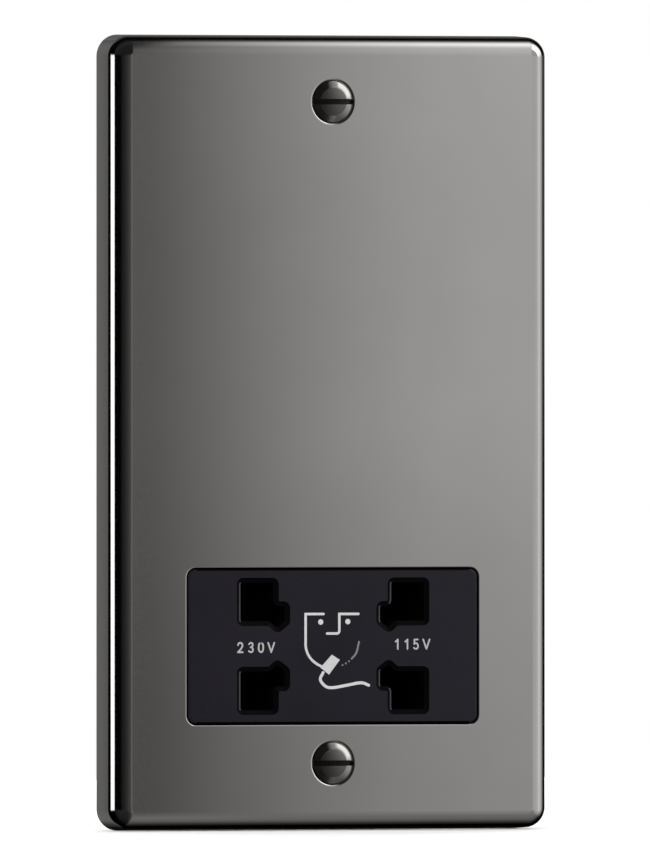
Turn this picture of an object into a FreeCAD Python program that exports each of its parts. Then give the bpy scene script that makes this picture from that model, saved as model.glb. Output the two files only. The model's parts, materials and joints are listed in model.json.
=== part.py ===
import FreeCAD, Part
import math
import os

# A dual-voltage shaver supply unit on a tall pressed plate, in millimetres, +Z up.
# The origin lies on the wall plane, midway between the two fixing screws.
# The plate faces -Y, and the body behind it reaches into the wall along +Y.

V = FreeCAD.Vector

# Front plate: pressed sheet with drafted sides and a rounded front edge
PLATE_WIDTH = 85.5
PLATE_HEIGHT = 145.0
PLATE_DEPTH = 8.7
PLATE_SHEET = 1.0
PLATE_CORNER_RADIUS = 4.0
PLATE_EDGE_RADIUS = 3.45
PLATE_DRAFT_DEG = 2.5
PLATE_INNER_EDGE = 1.4
PLATE_INNER_CORNER = 2.0

# Fixing screws: slotted, raised countersunk heads in dished seats
FIXING_CENTRES = 120.6
FIXING_RADIUS = 1.75
FIXING_LENGTH = 30.0
HEAD_RADIUS = 3.75
HEAD_RIM = 0.25
HEAD_SINK = 0.1
HEAD_DOME = 0.9
HEAD_LAND = 1.6
SLOT_WIDTH = 1.0
SLOT_DEPTH = 1.3
SEAT_GAP = 0.03
SEAT_HOLE_GAP = 0.2

# Socket face: the moulding seen through the plate's window
SOCKET_WIDTH = 56.3
SOCKET_HEIGHT = 28.1
SOCKET_CORNER_RADIUS = 1.5
SOCKET_DROP = 38.95
SOCKET_PROUD = 0.2
WINDOW_GAP = 0.2
FLANGE_LAP = 1.4
FRONT_FLANGE = 2.0
TUNNEL_LENGTH = 4.6
TUNNEL_WALL = 1.2
SKIRT_WALL = 1.2
FIT_GAP = 0.15

# Pin apertures, measured from the centre of the socket face to the tunnel walls
APERTURE_OUTER = 17.9
APERTURE_INNER = 11.5
APERTURE_FAR = 11.6
APERTURE_NEAR = 4.6
LOBE_INNER = 9.3
LOBE_FAR = 7.3
LOBE_NEAR = 4.55
LOBE_TIP_X = 10.86
LOBE_TIP_Z = 3.36
LOBE_FOOT_X = 12.26
APERTURE_RIM = 0.6

# Interlock shutter: slides sideways when pins press one pair of ramps
SHUTTER_THICKNESS = 5.1
SHUTTER_GAP = 0.2
SHUTTER_COVER_X = 0.3
SHUTTER_COVER_Z = 1.2
SHUTTER_TRAVEL = 7.2
SHUTTER_TOE = 0.7
SHUTTER_SPINE = 5.2
STOP_PAD = 0.7
STOP_HEIGHT = 4.0

# Centring springs
SPRING_RADIUS = 1.3
SPRING_WIRE_RADIUS = 0.28
SPRING_TURNS = 4
SPRING_SIDES = 4
SPRING_STEPS = 6
SPRING_POCKET = 5.0
SPRING_POCKET_GAP = 0.3
SPRING_END_GAP = 0.3

# Contact carrier and the spring contacts in its wells
CARRIER_DEPTH = 14.0
WELL_MARGIN = 0.5
WELL_FLOOR = 1.6
CONTACT_SHEET = 0.5
CONTACT_GRIP = 4.5
CONTACT_SIDE_GAP = 0.2
CONTACT_SETBACK = 1.0
TAG_WIDTH = 3.0
TAG_REACH = 1.5
TAG_SLOT_GAP = 0.25

# Chassis and rear cover
BODY_TOP = 55.0
BODY_CORNER_RADIUS = 4.0
BODY_WALL = 1.6
POCKET_FLOOR = 1.8
WIRING_GAP = 3.4
PARTING = 13.7
COVER_WALL = 1.8
BODY_REAR = 35.0
REAR_EDGE = 2.2
SHELF_EDGE = 1.0
FLANGE_EDGE_GAP = 0.6
FLANGE_CORNER_RADIUS = 3.0
FIXING_NOTCH = 6.0
NOTCH_RADIUS = 3.6
POST_HALF = 4.0
POST_WALL_GAP = 0.6
POST_STEP = 1.4
VENT_COUNT = 7
VENT_WIDTH = 1.8
VENT_LENGTH = 26.0
VENT_PITCH = 5.0

# Small screws, studs and nuts
SCREW_RADIUS = 1.45
SCREW_FLATS = 5.0
SCREW_HEAD_HEIGHT = 1.8
SCREW_BITE = 6.0
THREAD_GAP = 0.02
HOLE_GAP = 0.25
STUD_RADIUS = 1.5
STUD_LENGTH = 6.2
NUT_FLATS = 5.5
NUT_HEIGHT = 2.4
STUD_RISE = 44.0
STUD_MARGIN = 1.0
EARTH_STUD_DROP = 6.5

# Transformer: scrapless EI laminations, set by the width of the centre leg
CORE_LEG = 18.0
CORE_STACK = 19.0
CORE_RISE = 15.5
CORE_SIDE_GAP = 0.4
BOBBIN_WALL = 1.0
BOBBIN_FIT = 0.15
BOBBIN_DEPTH = 36.0
COIL_FRONT_GAP = 0.4
WINDING_INSET = 0.8
WINDING_BEVEL = 3.0
TUBE_BEVEL = 0.6
TAPE_THICKNESS = 0.3
CUTOUT_WIDTH = 6.4
CUTOUT_THICKNESS = 2.4
CUTOUT_LENGTH = 10.0

# Supply terminals on the shelf of the rear cover
TERMINAL_PITCH = 12.5
TERMINAL_WIDTH = 7.6
TERMINAL_HEIGHT = 8.4
TERMINAL_LENGTH = 9.0
TERMINAL_BORE = 1.9
TERMINAL_BORE_RISE = 3.4
TERMINAL_INSET = 2.5
TERMINAL_RISE = 4.0
TERMINAL_TAG_OFFSET = 3.2
BLOCK_FLOOR = 0.8
BLOCK_WALL = 2.0
BLOCK_SIDE = 2.5
BLOCK_EDGE = 0.6
CAVITY_GAP = 0.15
CLAMP_RADIUS = 1.75
CLAMP_PROUD = 1.2
CLAMP_SHANK = 2.6
DRIVER_GAP = 0.6

# Earth strap and wiring
STRAP_WIDTH = 6.0
STRAP_SHEET = 0.8
STRAP_BODY_GAP = 0.1
LEAD_RADIUS = 0.7
LEAD_TURN = 1.4
LEAD_SIDES = 6
LEAD_SEAT = 0.1

# Levels along Y, front to back
face_y = -PLATE_DEPTH
liner_y = face_y + PLATE_SHEET
flange_y = liner_y + FRONT_FLANGE
socket_y = face_y - SOCKET_PROUD
chamber_front = socket_y + TUNNEL_LENGTH
chamber_back = chamber_front + SHUTTER_THICKNESS + 2 * SHUTTER_GAP
carrier_back = chamber_back + CARRIER_DEPTH
pocket_back = carrier_back + POCKET_FLOOR
shelf_inner = pocket_back + WIRING_GAP
shelf_y = shelf_inner + COVER_WALL
parting_y = flange_y + PARTING
cover_inner = BODY_REAR - COVER_WALL
coil_y = flange_y + COIL_FRONT_GAP + BOBBIN_DEPTH / 2
core_front = coil_y - CORE_STACK / 2
core_back = coil_y + CORE_STACK / 2

# Places along Z and half sizes
fixing_z = FIXING_CENTRES / 2
socket_z = -SOCKET_DROP
shutter_half_x = APERTURE_OUTER + SHUTTER_COVER_X
shutter_half_z = APERTURE_FAR + SHUTTER_COVER_Z
chamber_half_x = shutter_half_x + SHUTTER_TRAVEL + STOP_PAD
chamber_half_z = shutter_half_z + SHUTTER_GAP
skirt_half_x = chamber_half_x + SKIRT_WALL
skirt_half_z = chamber_half_z + SKIRT_WALL
core_width = 3 * CORE_LEG
core_height = 2.5 * CORE_LEG
body_inner_half = max(core_width / 2 + CORE_SIDE_GAP, skirt_half_x + FIT_GAP)
body_half = body_inner_half + BODY_WALL
body_bottom = socket_z - skirt_half_z - FIT_GAP - BODY_WALL
divider_low = socket_z + skirt_half_z + FIT_GAP
divider_z = divider_low + BODY_WALL
plate_slope = PLATE_DEPTH * math.tan(math.radians(PLATE_DRAFT_DEG))
flange_width = PLATE_WIDTH - 2 * (plate_slope + PLATE_EDGE_RADIUS + FLANGE_EDGE_GAP)
flange_height = PLATE_HEIGHT - 2 * (plate_slope + PLATE_EDGE_RADIUS + FLANGE_EDGE_GAP)
stud_x = body_half + NUT_FLATS / math.sqrt(3) + STUD_MARGIN
low_stud_z = socket_z - SOCKET_HEIGHT / 2 - FLANGE_LAP - STUD_RADIUS - STUD_MARGIN
earth_x = TERMINAL_PITCH
earth_stud_z = body_bottom - EARTH_STUD_DROP
terminal_front = shelf_y + BLOCK_FLOOR
terminal_back = terminal_front + TERMINAL_HEIGHT
terminal_low = body_bottom + TERMINAL_RISE
terminal_high = terminal_low + TERMINAL_LENGTH
clamp_z = (terminal_low + terminal_high) / 2
core_hole_x = 1.25 * CORE_LEG
core_hole_z = CORE_LEG
post_x = body_inner_half - POST_HALF - POST_WALL_GAP
post_high = (CORE_RISE + core_height / 2 + BODY_TOP - BODY_WALL) / 2
post_low = (CORE_RISE - core_height / 2 + divider_z) / 2
post_back = parting_y + POST_STEP
cover_screw_seat = post_back + SCREW_BITE
contact_x = (APERTURE_OUTER + APERTURE_INNER) / 2
contact_z = (APERTURE_FAR + APERTURE_NEAR) / 2
window_length = 1.5 * CORE_LEG
bobbin_length = window_length - 2 * BOBBIN_FIT
bobbin_width = 2 * CORE_LEG - 2 * BOBBIN_FIT
chamber_length = (bobbin_length - 3 * BOBBIN_WALL) / 2
coil_back = coil_y + BOBBIN_DEPTH / 2


def block(x, y, z):
    """A box between two X, two Y and two Z values."""
    return Part.makeBox(x[1] - x[0], y[1] - y[0], z[1] - z[0], V(x[0], y[0], z[0]))


def rod_y(radius, x, z, start, end):
    return Part.makeCylinder(radius, end - start, V(x, start, z), V(0, 1, 0))


def square_y(half, x, z, start, end):
    return block((x - half, x + half), (start, end), (z - half, z + half))


def rod_z(radius, x, y, start, end):
    return Part.makeCylinder(radius, end - start, V(x, y, start), V(0, 0, 1))


def rounded_wire(width, height, radius, place):
    """A rounded rectangle; place(u, v) turns its flat coordinates into a point."""
    u = width / 2
    v = height / 2
    bulge = radius * (1 - math.sqrt(0.5))
    edges = []
    corners = [(1, 1), (-1, 1), (-1, -1), (1, -1)]
    ends = []
    for a, b in corners:
        on_side = place(a * u, b * (v - radius))
        middle = place(a * (u - bulge), b * (v - bulge))
        on_end = place(a * (u - radius), b * v)
        first, last = (on_side, on_end) if a * b > 0 else (on_end, on_side)
        ends.append((first, middle, last))
    for i, (first, middle, last) in enumerate(ends):
        edges.append(Part.Arc(first, middle, last).toShape())
        edges.append(Part.makeLine(last, ends[(i + 1) % 4][0]))
    return Part.Wire(edges)


def upright(y, x=0.0, z=0.0):
    """Places flat coordinates on a plane that faces along Y."""
    return lambda u, v: V(x + u, y, z + v)


def slab(width, height, radius, y, z=0.0):
    """A rounded rectangle extruded between two Y values."""
    face = Part.Face(rounded_wire(width, height, radius, upright(y[0], 0.0, z)))
    return face.extrude(V(0, y[1] - y[0], 0))


def sleeve(width, depth, bevel, z):
    """A rectangle with bevelled corners about the coil's axis, extruded between two Z values."""
    u = width / 2
    v = depth / 2
    corners = [(u, v - bevel), (u - bevel, v), (bevel - u, v), (-u, v - bevel),
               (-u, bevel - v), (bevel - u, -v), (u - bevel, -v), (u, bevel - v)]
    points = [V(a, coil_y + b, z[0]) for a, b in corners]
    return Part.Face(Part.makePolygon(points + points[:1])).extrude(V(0, 0, z[1] - z[0]))


def turned(points, x, z):
    """A solid turned about a line along Y, from (radius, y) points."""
    flat = [V(x + r, y, z) for r, y in points]
    face = Part.Face(Part.makePolygon(flat + flat[:1]))
    return face.revolve(V(x, 0, z), V(0, 1, 0), 360)


def bar(path, radius, sides):
    """A bar of many-sided section along straight runs, mitred where they meet."""
    run = (path[1] - path[0]).normalize()
    across = run.cross(V(1, 0, 0)) if abs(run.x) < 0.9 else run.cross(V(0, 1, 0))
    across.normalize()
    other = run.cross(across)
    ring = []
    for i in range(sides + 1):
        angle = 2 * math.pi * i / sides
        ring.append(path[0] + across * (radius * math.cos(angle)) + other * (radius * math.sin(angle)))
    section = Part.makePolygon(ring)
    return Part.makePolygon(path).makePipeShell([section], True, False, 1)


def hexagon(x, z, flats, y):
    """A hexagonal prism between two Y values."""
    corner = flats / math.sqrt(3)
    angles = [math.radians(60 * i) for i in range(7)]
    points = [V(x + corner * math.cos(a), y[0], z + corner * math.sin(a)) for a in angles]
    return Part.Face(Part.makePolygon(points)).extrude(V(0, y[1] - y[0], 0))


def join(shapes):
    return shapes[0].multiFuse(shapes[1:]).removeSplitter()


def flat_edges(shape, y):
    """The edges that lie wholly on one Y plane."""
    return [e for e in shape.Edges if all(abs(v.Y - y) < 1e-6 for v in e.Vertexes)]


def flat_sided(stations, bevel=0.0):
    """A flat-sided form about the Y axis through stations of half width, half height and Y."""
    wires = []
    for u, v, y in stations:
        corners = [(u, v)]
        if bevel:
            corners = [(u, v - bevel), (u - bevel, v)]
        around = corners + [(-a, b) for a, b in corners[::-1]]
        around += [(-a, -b) for a, b in around]
        wires.append(Part.makePolygon([V(a, y, b) for a, b in around + around[:1]]))
    return Part.makeLoft(wires, True, True)


def pressed_form():
    """The plate's outer form: drafted sides, rounded corners and a rounded front edge."""
    u = PLATE_WIDTH / 2 - PLATE_CORNER_RADIUS
    v = PLATE_HEIGHT / 2 - PLATE_CORNER_RADIUS
    tip = PLATE_CORNER_RADIUS - plate_slope
    solids = [flat_sided([(u + PLATE_CORNER_RADIUS, v, 0.0), (u + tip, v, face_y)]),
              flat_sided([(u, v + PLATE_CORNER_RADIUS, 0.0), (u, v + tip, face_y)])]
    for side in (-1, 1):
        for end in (-1, 1):
            foot = V(side * u, 0, end * v)
            solids.append(Part.makeCone(PLATE_CORNER_RADIUS, tip, PLATE_DEPTH, foot, V(0, -1, 0)))
    form = join(solids)
    return form.makeFillet(PLATE_EDGE_RADIUS, flat_edges(form, face_y))


def pressed_hollow():
    """The hollow behind the sheet, with its corners and front edge bevelled to follow the outer form."""
    bend_y = liner_y + PLATE_INNER_EDGE
    bent = PLATE_SHEET - bend_y * math.tan(math.radians(PLATE_DRAFT_DEG))
    stations = []
    for inset, y in ((PLATE_SHEET, 0.0), (bent, bend_y), (bent + PLATE_INNER_EDGE, liner_y)):
        stations.append((PLATE_WIDTH / 2 - inset, PLATE_HEIGHT / 2 - inset, y))
    return flat_sided(stations, PLATE_INNER_CORNER)


def front_plate():
    """The pressed shell with its window and two dished seats for the fixing screws."""
    seat_top = HEAD_RADIUS + HEAD_RIM + HEAD_SINK + SEAT_GAP
    hole = FIXING_RADIUS + SEAT_HOLE_GAP
    seat_end = face_y + seat_top - hole
    boss = seat_top + PLATE_SHEET * (math.sqrt(2) - 1)
    rooted_y = liner_y - PLATE_SHEET / 2
    plate = pressed_form().cut(pressed_hollow())
    seats = []
    for side in (-1, 1):
        z = side * fixing_z
        plate = plate.fuse(rod_y(boss, 0.0, z, rooted_y, seat_end))
        seats.append(turned([(0, face_y), (seat_top, face_y), (hole, seat_end), (0, seat_end)], 0.0, z))
    window = slab(SOCKET_WIDTH + 2 * WINDOW_GAP, SOCKET_HEIGHT + 2 * WINDOW_GAP,
                  SOCKET_CORNER_RADIUS + WINDOW_GAP, (face_y, liner_y), socket_z)
    return plate.cut(seats + [window]).removeSplitter()


def fixing_screw(z):
    """One raised countersunk screw with a slot across its domed head."""
    rim_y = face_y + HEAD_SINK
    cone_y = rim_y + HEAD_RIM
    tip_y = face_y + FIXING_LENGTH
    dome_y = rim_y - HEAD_DOME
    profile = [(0, dome_y), (HEAD_LAND, dome_y), (HEAD_RADIUS, rim_y), (HEAD_RADIUS, cone_y),
               (FIXING_RADIUS, cone_y + HEAD_RADIUS - FIXING_RADIUS), (FIXING_RADIUS, tip_y), (0, tip_y)]
    body = turned(profile, 0.0, z)
    slot = block((-HEAD_RADIUS, HEAD_RADIUS), (dome_y, dome_y + SLOT_DEPTH),
                 (z - SLOT_WIDTH / 2, z + SLOT_WIDTH / 2))
    return body.cut(slot)


def aperture(side, end, y):
    """The prism of one pin aperture: a square well with a pointed lobe towards the centre."""
    outline = [(APERTURE_OUTER, APERTURE_FAR), (APERTURE_INNER, APERTURE_FAR), (APERTURE_INNER, LOBE_FAR),
               (LOBE_INNER, LOBE_FAR), (LOBE_INNER, LOBE_NEAR), (LOBE_TIP_X, LOBE_TIP_Z),
               (LOBE_FOOT_X, APERTURE_NEAR), (APERTURE_OUTER, APERTURE_NEAR)]
    points = [V(side * u, y[0], socket_z + end * v) for u, v in outline]
    return Part.Face(Part.makePolygon(points + points[:1])).extrude(V(0, y[1] - y[0], 0))


def socket_face():
    """The black face with its flange behind the plate, aperture tunnels and the skirt round the shutter."""
    raised = slab(SOCKET_WIDTH, SOCKET_HEIGHT, SOCKET_CORNER_RADIUS, (socket_y, flange_y), socket_z)
    flange = slab(SOCKET_WIDTH + 2 * FLANGE_LAP, SOCKET_HEIGHT + 2 * FLANGE_LAP,
                  SOCKET_CORNER_RADIUS + FLANGE_LAP, (liner_y, flange_y), socket_z)
    solids = [raised, flange]
    tunnel_low = LOBE_TIP_Z - TUNNEL_WALL
    tunnel_high = APERTURE_FAR + TUNNEL_WALL
    for side in (-1, 1):
        across = sorted((side * (LOBE_INNER - TUNNEL_WALL), side * (APERTURE_OUTER + TUNNEL_WALL)))
        for end in (-1, 1):
            along = sorted((socket_z + end * tunnel_low, socket_z + end * tunnel_high))
            solids.append(block(across, (flange_y, chamber_front), along))
    skirt = block((-skirt_half_x, skirt_half_x), (flange_y, chamber_back),
                  (socket_z - skirt_half_z, socket_z + skirt_half_z))
    hollow = block((-chamber_half_x, chamber_half_x), (flange_y, chamber_back),
                   (socket_z - chamber_half_z, socket_z + chamber_half_z))
    solids.append(skirt.cut(hollow))
    for side in (-1, 1):
        across = sorted((side * (chamber_half_x - STOP_PAD), side * chamber_half_x))
        for end in (-1, 1):
            along = sorted((socket_z + end * SHUTTER_SPINE, socket_z + end * (SHUTTER_SPINE + STOP_HEIGHT)))
            solids.append(block(across, (flange_y, chamber_back), along))
    face = join(solids)
    tunnel = (socket_y, chamber_front)
    face = face.cut([aperture(side, end, tunnel) for side in (-1, 1) for end in (-1, 1)])
    rims = []
    for e in flat_edges(face, socket_y):
        box = e.BoundBox
        across = max(abs(box.XMin), abs(box.XMax))
        along = max(abs(box.ZMin - socket_z), abs(box.ZMax - socket_z))
        if across < APERTURE_OUTER + TUNNEL_WALL and along < APERTURE_FAR + APERTURE_RIM:
            rims.append(e)
    return face.makeChamfer(APERTURE_RIM, rims)


def interlock_shutter():
    """The slider: a spine with sprung ends, and ramps that the pins press."""
    front = chamber_front + SHUTTER_GAP
    back = chamber_back - SHUTTER_GAP
    toe = back - SHUTTER_TOE
    crest = APERTURE_INNER
    profile = [(-shutter_half_x, back), (-shutter_half_x, toe), (-crest, front), (crest, front),
               (shutter_half_x, toe), (shutter_half_x, back)]
    points = [V(x, y, socket_z - shutter_half_z) for x, y in profile]
    ramps = Part.Face(Part.makePolygon(points + points[:1])).extrude(V(0, 0, 2 * shutter_half_z))
    spine = block((-shutter_half_x, shutter_half_x), (front, back),
                  (socket_z - SHUTTER_SPINE / 2, socket_z + SHUTTER_SPINE / 2))
    middle = (front + back) / 2
    pocket = SPRING_RADIUS + SPRING_WIRE_RADIUS + SPRING_POCKET_GAP
    pockets = []
    for side in (-1, 1):
        across = sorted((side * (shutter_half_x - SPRING_POCKET), side * shutter_half_x))
        pockets.append(block(across, (middle - pocket, middle + pocket),
                             (socket_z - pocket, socket_z + pocket)))
    hollows = []
    for end in (-1, 1):
        along = sorted((socket_z + end * (SHUTTER_SPINE / 2 + TUNNEL_WALL),
                        socket_z + end * (shutter_half_z - TUNNEL_WALL)))
        hollows.append(block((TUNNEL_WALL - crest, crest - TUNNEL_WALL),
                             (front + TUNNEL_WALL, back), along))
    return ramps.fuse(spine).cut(pockets + hollows).removeSplitter()


def shutter_spring(side):
    """A coil spring from the bottom of the shutter's pocket to the end of the chamber."""
    start = shutter_half_x - SPRING_POCKET + SPRING_WIRE_RADIUS + SPRING_END_GAP
    end = chamber_half_x - SPRING_WIRE_RADIUS
    middle = (chamber_front + chamber_back) / 2
    length = end - start
    count = SPRING_TURNS * SPRING_STEPS
    path = []
    for i in range(count + 1):
        angle = 2 * math.pi * i / SPRING_STEPS
        path.append(V(side * (start + length * i / count), middle + SPRING_RADIUS * math.cos(angle),
                      socket_z + SPRING_RADIUS * math.sin(angle)))
    return bar(path, SPRING_WIRE_RADIUS, SPRING_SIDES)


def tag_slot(side, end, y, gap):
    """The slot, or with no gap the tag, behind one contact."""
    half = TAG_WIDTH / 2 + gap
    z = socket_z + end * contact_z
    thick = CONTACT_SHEET / 2 + gap
    return block((side * contact_x - thick, side * contact_x + thick), y, (z - half, z + half))


def contact_carrier():
    """The moulded block behind the shutter, with a well for each contact."""
    body = block((-skirt_half_x, skirt_half_x), (chamber_back, carrier_back),
                 (socket_z - skirt_half_z, socket_z + skirt_half_z))
    wells = []
    for side in (-1, 1):
        across = sorted((side * (APERTURE_INNER - WELL_MARGIN), side * (APERTURE_OUTER + WELL_MARGIN)))
        for end in (-1, 1):
            along = sorted((socket_z + end * (APERTURE_NEAR - WELL_MARGIN),
                            socket_z + end * (APERTURE_FAR + WELL_MARGIN)))
            wells.append(block(across, (chamber_back, carrier_back - WELL_FLOOR), along))
            wells.append(tag_slot(side, end, (chamber_back, carrier_back), TAG_SLOT_GAP))
    return body.cut(wells)


def contact(side, end):
    """A spring contact: two folded leaves on a base, with a solder tag."""
    floor = carrier_back - WELL_FLOOR
    base_y = floor - CONTACT_SHEET
    mouth_y = chamber_back + CONTACT_SETBACK
    grip_y = (2 * mouth_y + base_y) / 3
    outer = (APERTURE_OUTER - APERTURE_INNER) / 2 + WELL_MARGIN - CONTACT_SIDE_GAP
    inner = outer - CONTACT_SHEET
    grip = CONTACT_GRIP / 2
    width = APERTURE_FAR - APERTURE_NEAR - 2 * CONTACT_SIDE_GAP
    leaves = []
    for hand in (-1, 1):
        bends = [(inner, base_y), (grip, grip_y), (inner, mouth_y), (outer, mouth_y),
                 (grip + CONTACT_SHEET, grip_y), (outer, base_y), (inner, base_y)]
        outline = Part.makePolygon([V(hand * x, y, 0) for x, y in bends])
        leaves.append(Part.Face(outline).extrude(V(0, 0, width)))
    base = block((-outer, outer), (base_y, floor), (0, width))
    clip = join(leaves + [base])
    clip.translate(V(side * contact_x, 0, socket_z + end * contact_z - width / 2))
    tag = tag_slot(side, end, (base_y, pocket_back + TAG_REACH), 0.0)
    return clip.fuse(tag).removeSplitter()


def stud_places():
    """The X and Z of the two chassis studs, at opposite corners, and then the earth stud."""
    return [(-stud_x, STUD_RISE), (stud_x, low_stud_z), (earth_x, earth_stud_z)]


def plate_stud(x, z):
    return rod_y(STUD_RADIUS, x, z, liner_y, liner_y + STUD_LENGTH)


def plate_nut(x, z, seat):
    """A hexagon nut on one stud."""
    span = (seat, seat + NUT_HEIGHT)
    return hexagon(x, z, NUT_FLATS, span).cut(rod_y(STUD_RADIUS + THREAD_GAP, x, z, *span))


def core_hole_places():
    """The core's two fixings, at opposite corners."""
    return [(side * core_hole_x, CORE_RISE + side * core_hole_z) for side in (-1, 1)]


def post_places():
    """The cover's two fixings, at opposite corners."""
    return [(-post_x, post_high), (post_x, post_low)]


def body_slab(inset, y, low, high):
    """The body's plan between two heights, drawn in sideways by a wall, with rounded corners."""
    radius = BODY_CORNER_RADIUS - inset
    return slab(2 * (body_half - inset), high - low, radius, y, (low + high) / 2)


def body_span(inset, y, low, high):
    """The whole body's plan, drawn in by a wall and cut square at two heights."""
    whole = body_slab(inset, y, body_bottom + inset, BODY_TOP - inset)
    return whole.common(block((-body_half, body_half), y, (low, high)))


def chassis():
    """The front moulding: a flange behind the plate, the transformer's bay and the mechanism's pocket."""
    flange = slab(flange_width, flange_height, FLANGE_CORNER_RADIUS, (liner_y, flange_y))
    bay = body_span(0.0, (flange_y, parting_y), body_bottom, BODY_TOP)
    bay = bay.cut(body_span(BODY_WALL, (flange_y, parting_y), divider_z, BODY_TOP))
    pocket = body_span(0.0, (flange_y, pocket_back), body_bottom, divider_z)
    solids = [flange, bay, pocket]
    for x, z in core_hole_places():
        solids.append(square_y(POST_HALF, x, z, flange_y, core_front))
    for x, z in post_places():
        solids.append(square_y(POST_HALF, x, z, flange_y, post_back))
    body = join(solids)
    cuts = [slab(SOCKET_WIDTH + 2 * (FLANGE_LAP + FIT_GAP), SOCKET_HEIGHT + 2 * (FLANGE_LAP + FIT_GAP),
                 SOCKET_CORNER_RADIUS + FLANGE_LAP + FIT_GAP, (liner_y, flange_y), socket_z),
            block((-skirt_half_x - FIT_GAP, skirt_half_x + FIT_GAP), (flange_y, carrier_back),
                  (socket_z - skirt_half_z - FIT_GAP, divider_low))]
    for side in (-1, 1):
        along = sorted((side * (fixing_z - FIXING_NOTCH), side * flange_height))
        notch = block((-FIXING_NOTCH, FIXING_NOTCH), (liner_y, flange_y), along)
        inner = [e for e in notch.Edges
                 if e.BoundBox.YLength > FRONT_FLANGE / 2 and abs(e.Vertexes[0].Z) < fixing_z]
        cuts.append(notch.makeFillet(NOTCH_RADIUS, inner))
        for end in (-1, 1):
            cuts.append(tag_slot(side, end, (carrier_back, pocket_back), TAG_SLOT_GAP))
    hole = STUD_RADIUS + HOLE_GAP
    for x, z in stud_places():
        cuts.append(square_y(hole, x, z, liner_y, flange_y))
    pilot = SCREW_RADIUS + THREAD_GAP
    for x, z in core_hole_places():
        cuts.append(rod_y(pilot, x, z, core_front - SCREW_BITE, core_front))
    for x, z in post_places():
        cuts.append(rod_y(pilot, x, z, post_back - SCREW_BITE, post_back))
    return body.cut(cuts)


def terminal_places():
    """The X of the live, neutral and earth terminals."""
    return [-TERMINAL_PITCH, 0.0, TERMINAL_PITCH]


def terminal_tag(x, y, gap):
    """The tag of a supply terminal, or its slot when a gap is given."""
    thick = BLOCK_FLOOR / 2 + gap
    half = TAG_WIDTH / 2 + gap
    across = x + TERMINAL_TAG_OFFSET
    return block((across - thick, across + thick), y, (clamp_z - half, clamp_z + half))


def rear_cover():
    """The rear moulding: a hump over the transformer and a lower shelf for the terminals."""
    low = divider_z + FIT_GAP
    inner_low = low + COVER_WALL
    sides = body_span(0.0, (parting_y, shelf_y), low, BODY_TOP)
    shelf = body_span(0.0, (pocket_back, shelf_y), body_bottom, low)
    shelf = shelf.makeChamfer(SHELF_EDGE, [e for e in flat_edges(shelf, shelf_y)
                                           if e.BoundBox.ZMin < low - COVER_WALL])
    hump = body_slab(0.0, (shelf_y, BODY_REAR), low, BODY_TOP)
    hump = hump.makeChamfer(REAR_EDGE, flat_edges(hump, BODY_REAR))
    bay = body_span(COVER_WALL, (parting_y, shelf_y), inner_low, BODY_TOP)
    vault = body_slab(COVER_WALL, (shelf_y, cover_inner), inner_low, BODY_TOP - COVER_WALL)
    wiring = body_span(COVER_WALL, (pocket_back, shelf_inner), body_bottom, inner_low)
    cover = join([sides, shelf, hump]).cut([bay, vault, wiring])
    column_back = cover_inner + COVER_WALL / 2
    cover = join([cover] + [square_y(POST_HALF, x, z, post_back, column_back) for x, z in post_places()])
    cuts = []
    well = SCREW_FLATS / math.sqrt(3) + HOLE_GAP
    for x, z in post_places():
        cuts.append(rod_y(SCREW_RADIUS + HOLE_GAP, x, z, post_back, BODY_REAR))
        cuts.append(square_y(well, x, z, cover_screw_seat, BODY_REAR))
    for i in range(VENT_COUNT):
        x = (i - (VENT_COUNT - 1) / 2) * VENT_PITCH
        cuts.append(block((x - VENT_WIDTH / 2, x + VENT_WIDTH / 2), (cover_inner, BODY_REAR),
                          (CORE_RISE - VENT_LENGTH / 2, CORE_RISE + VENT_LENGTH / 2)))
    for x in terminal_places()[:2]:
        cuts.append(terminal_tag(x, (shelf_inner, shelf_y), TAG_SLOT_GAP))
    return cover.cut(cuts)


def small_screw(x, z, seat, bite):
    """A hexagon-headed screw along Y, with its head behind the seat."""
    head = hexagon(x, z, SCREW_FLATS, (seat, seat + SCREW_HEAD_HEIGHT))
    return head.fuse(rod_y(SCREW_RADIUS, x, z, seat - bite, seat)).removeSplitter()


def transformer_core():
    """The EI stack with its two windows and two bolt holes."""
    core = block((-core_width / 2, core_width / 2), (core_front, core_back),
                 (CORE_RISE - core_height / 2, CORE_RISE + core_height / 2))
    cuts = [rod_y(SCREW_RADIUS + HOLE_GAP, x, z, core_front, core_back) for x, z in core_hole_places()]
    for side in (-1, 1):
        across = sorted((side * CORE_LEG / 2, side * CORE_LEG))
        cuts.append(block(across, (core_front, core_back),
                          (CORE_RISE - window_length / 2, CORE_RISE + window_length / 2)))
    return core.cut(cuts)


def transformer_bobbin():
    """A tube on the centre leg with three flanges, so that the two windings lie apart."""
    low = CORE_RISE - bobbin_length / 2
    high = CORE_RISE + bobbin_length / 2
    inner_width = CORE_LEG + 2 * BOBBIN_FIT
    inner_depth = CORE_STACK + 2 * BOBBIN_FIT
    solids = [bobbin_tube((low, high))]
    for z in (low, CORE_RISE - BOBBIN_WALL / 2, high - BOBBIN_WALL):
        solids.append(sleeve(bobbin_width, BOBBIN_DEPTH, WINDING_BEVEL, (z, z + BOBBIN_WALL)))
    body = join(solids)
    bore = block((-inner_width / 2, inner_width / 2),
                 (coil_y - inner_depth / 2, coil_y + inner_depth / 2), (low, high))
    return body.cut(bore)


def coil_chamber(end):
    """The low and high Z of the lower (-1) or upper (1) winding space."""
    near = CORE_RISE + end * BOBBIN_WALL / 2
    far = near + end * chamber_length
    return sorted((near, far))


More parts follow.
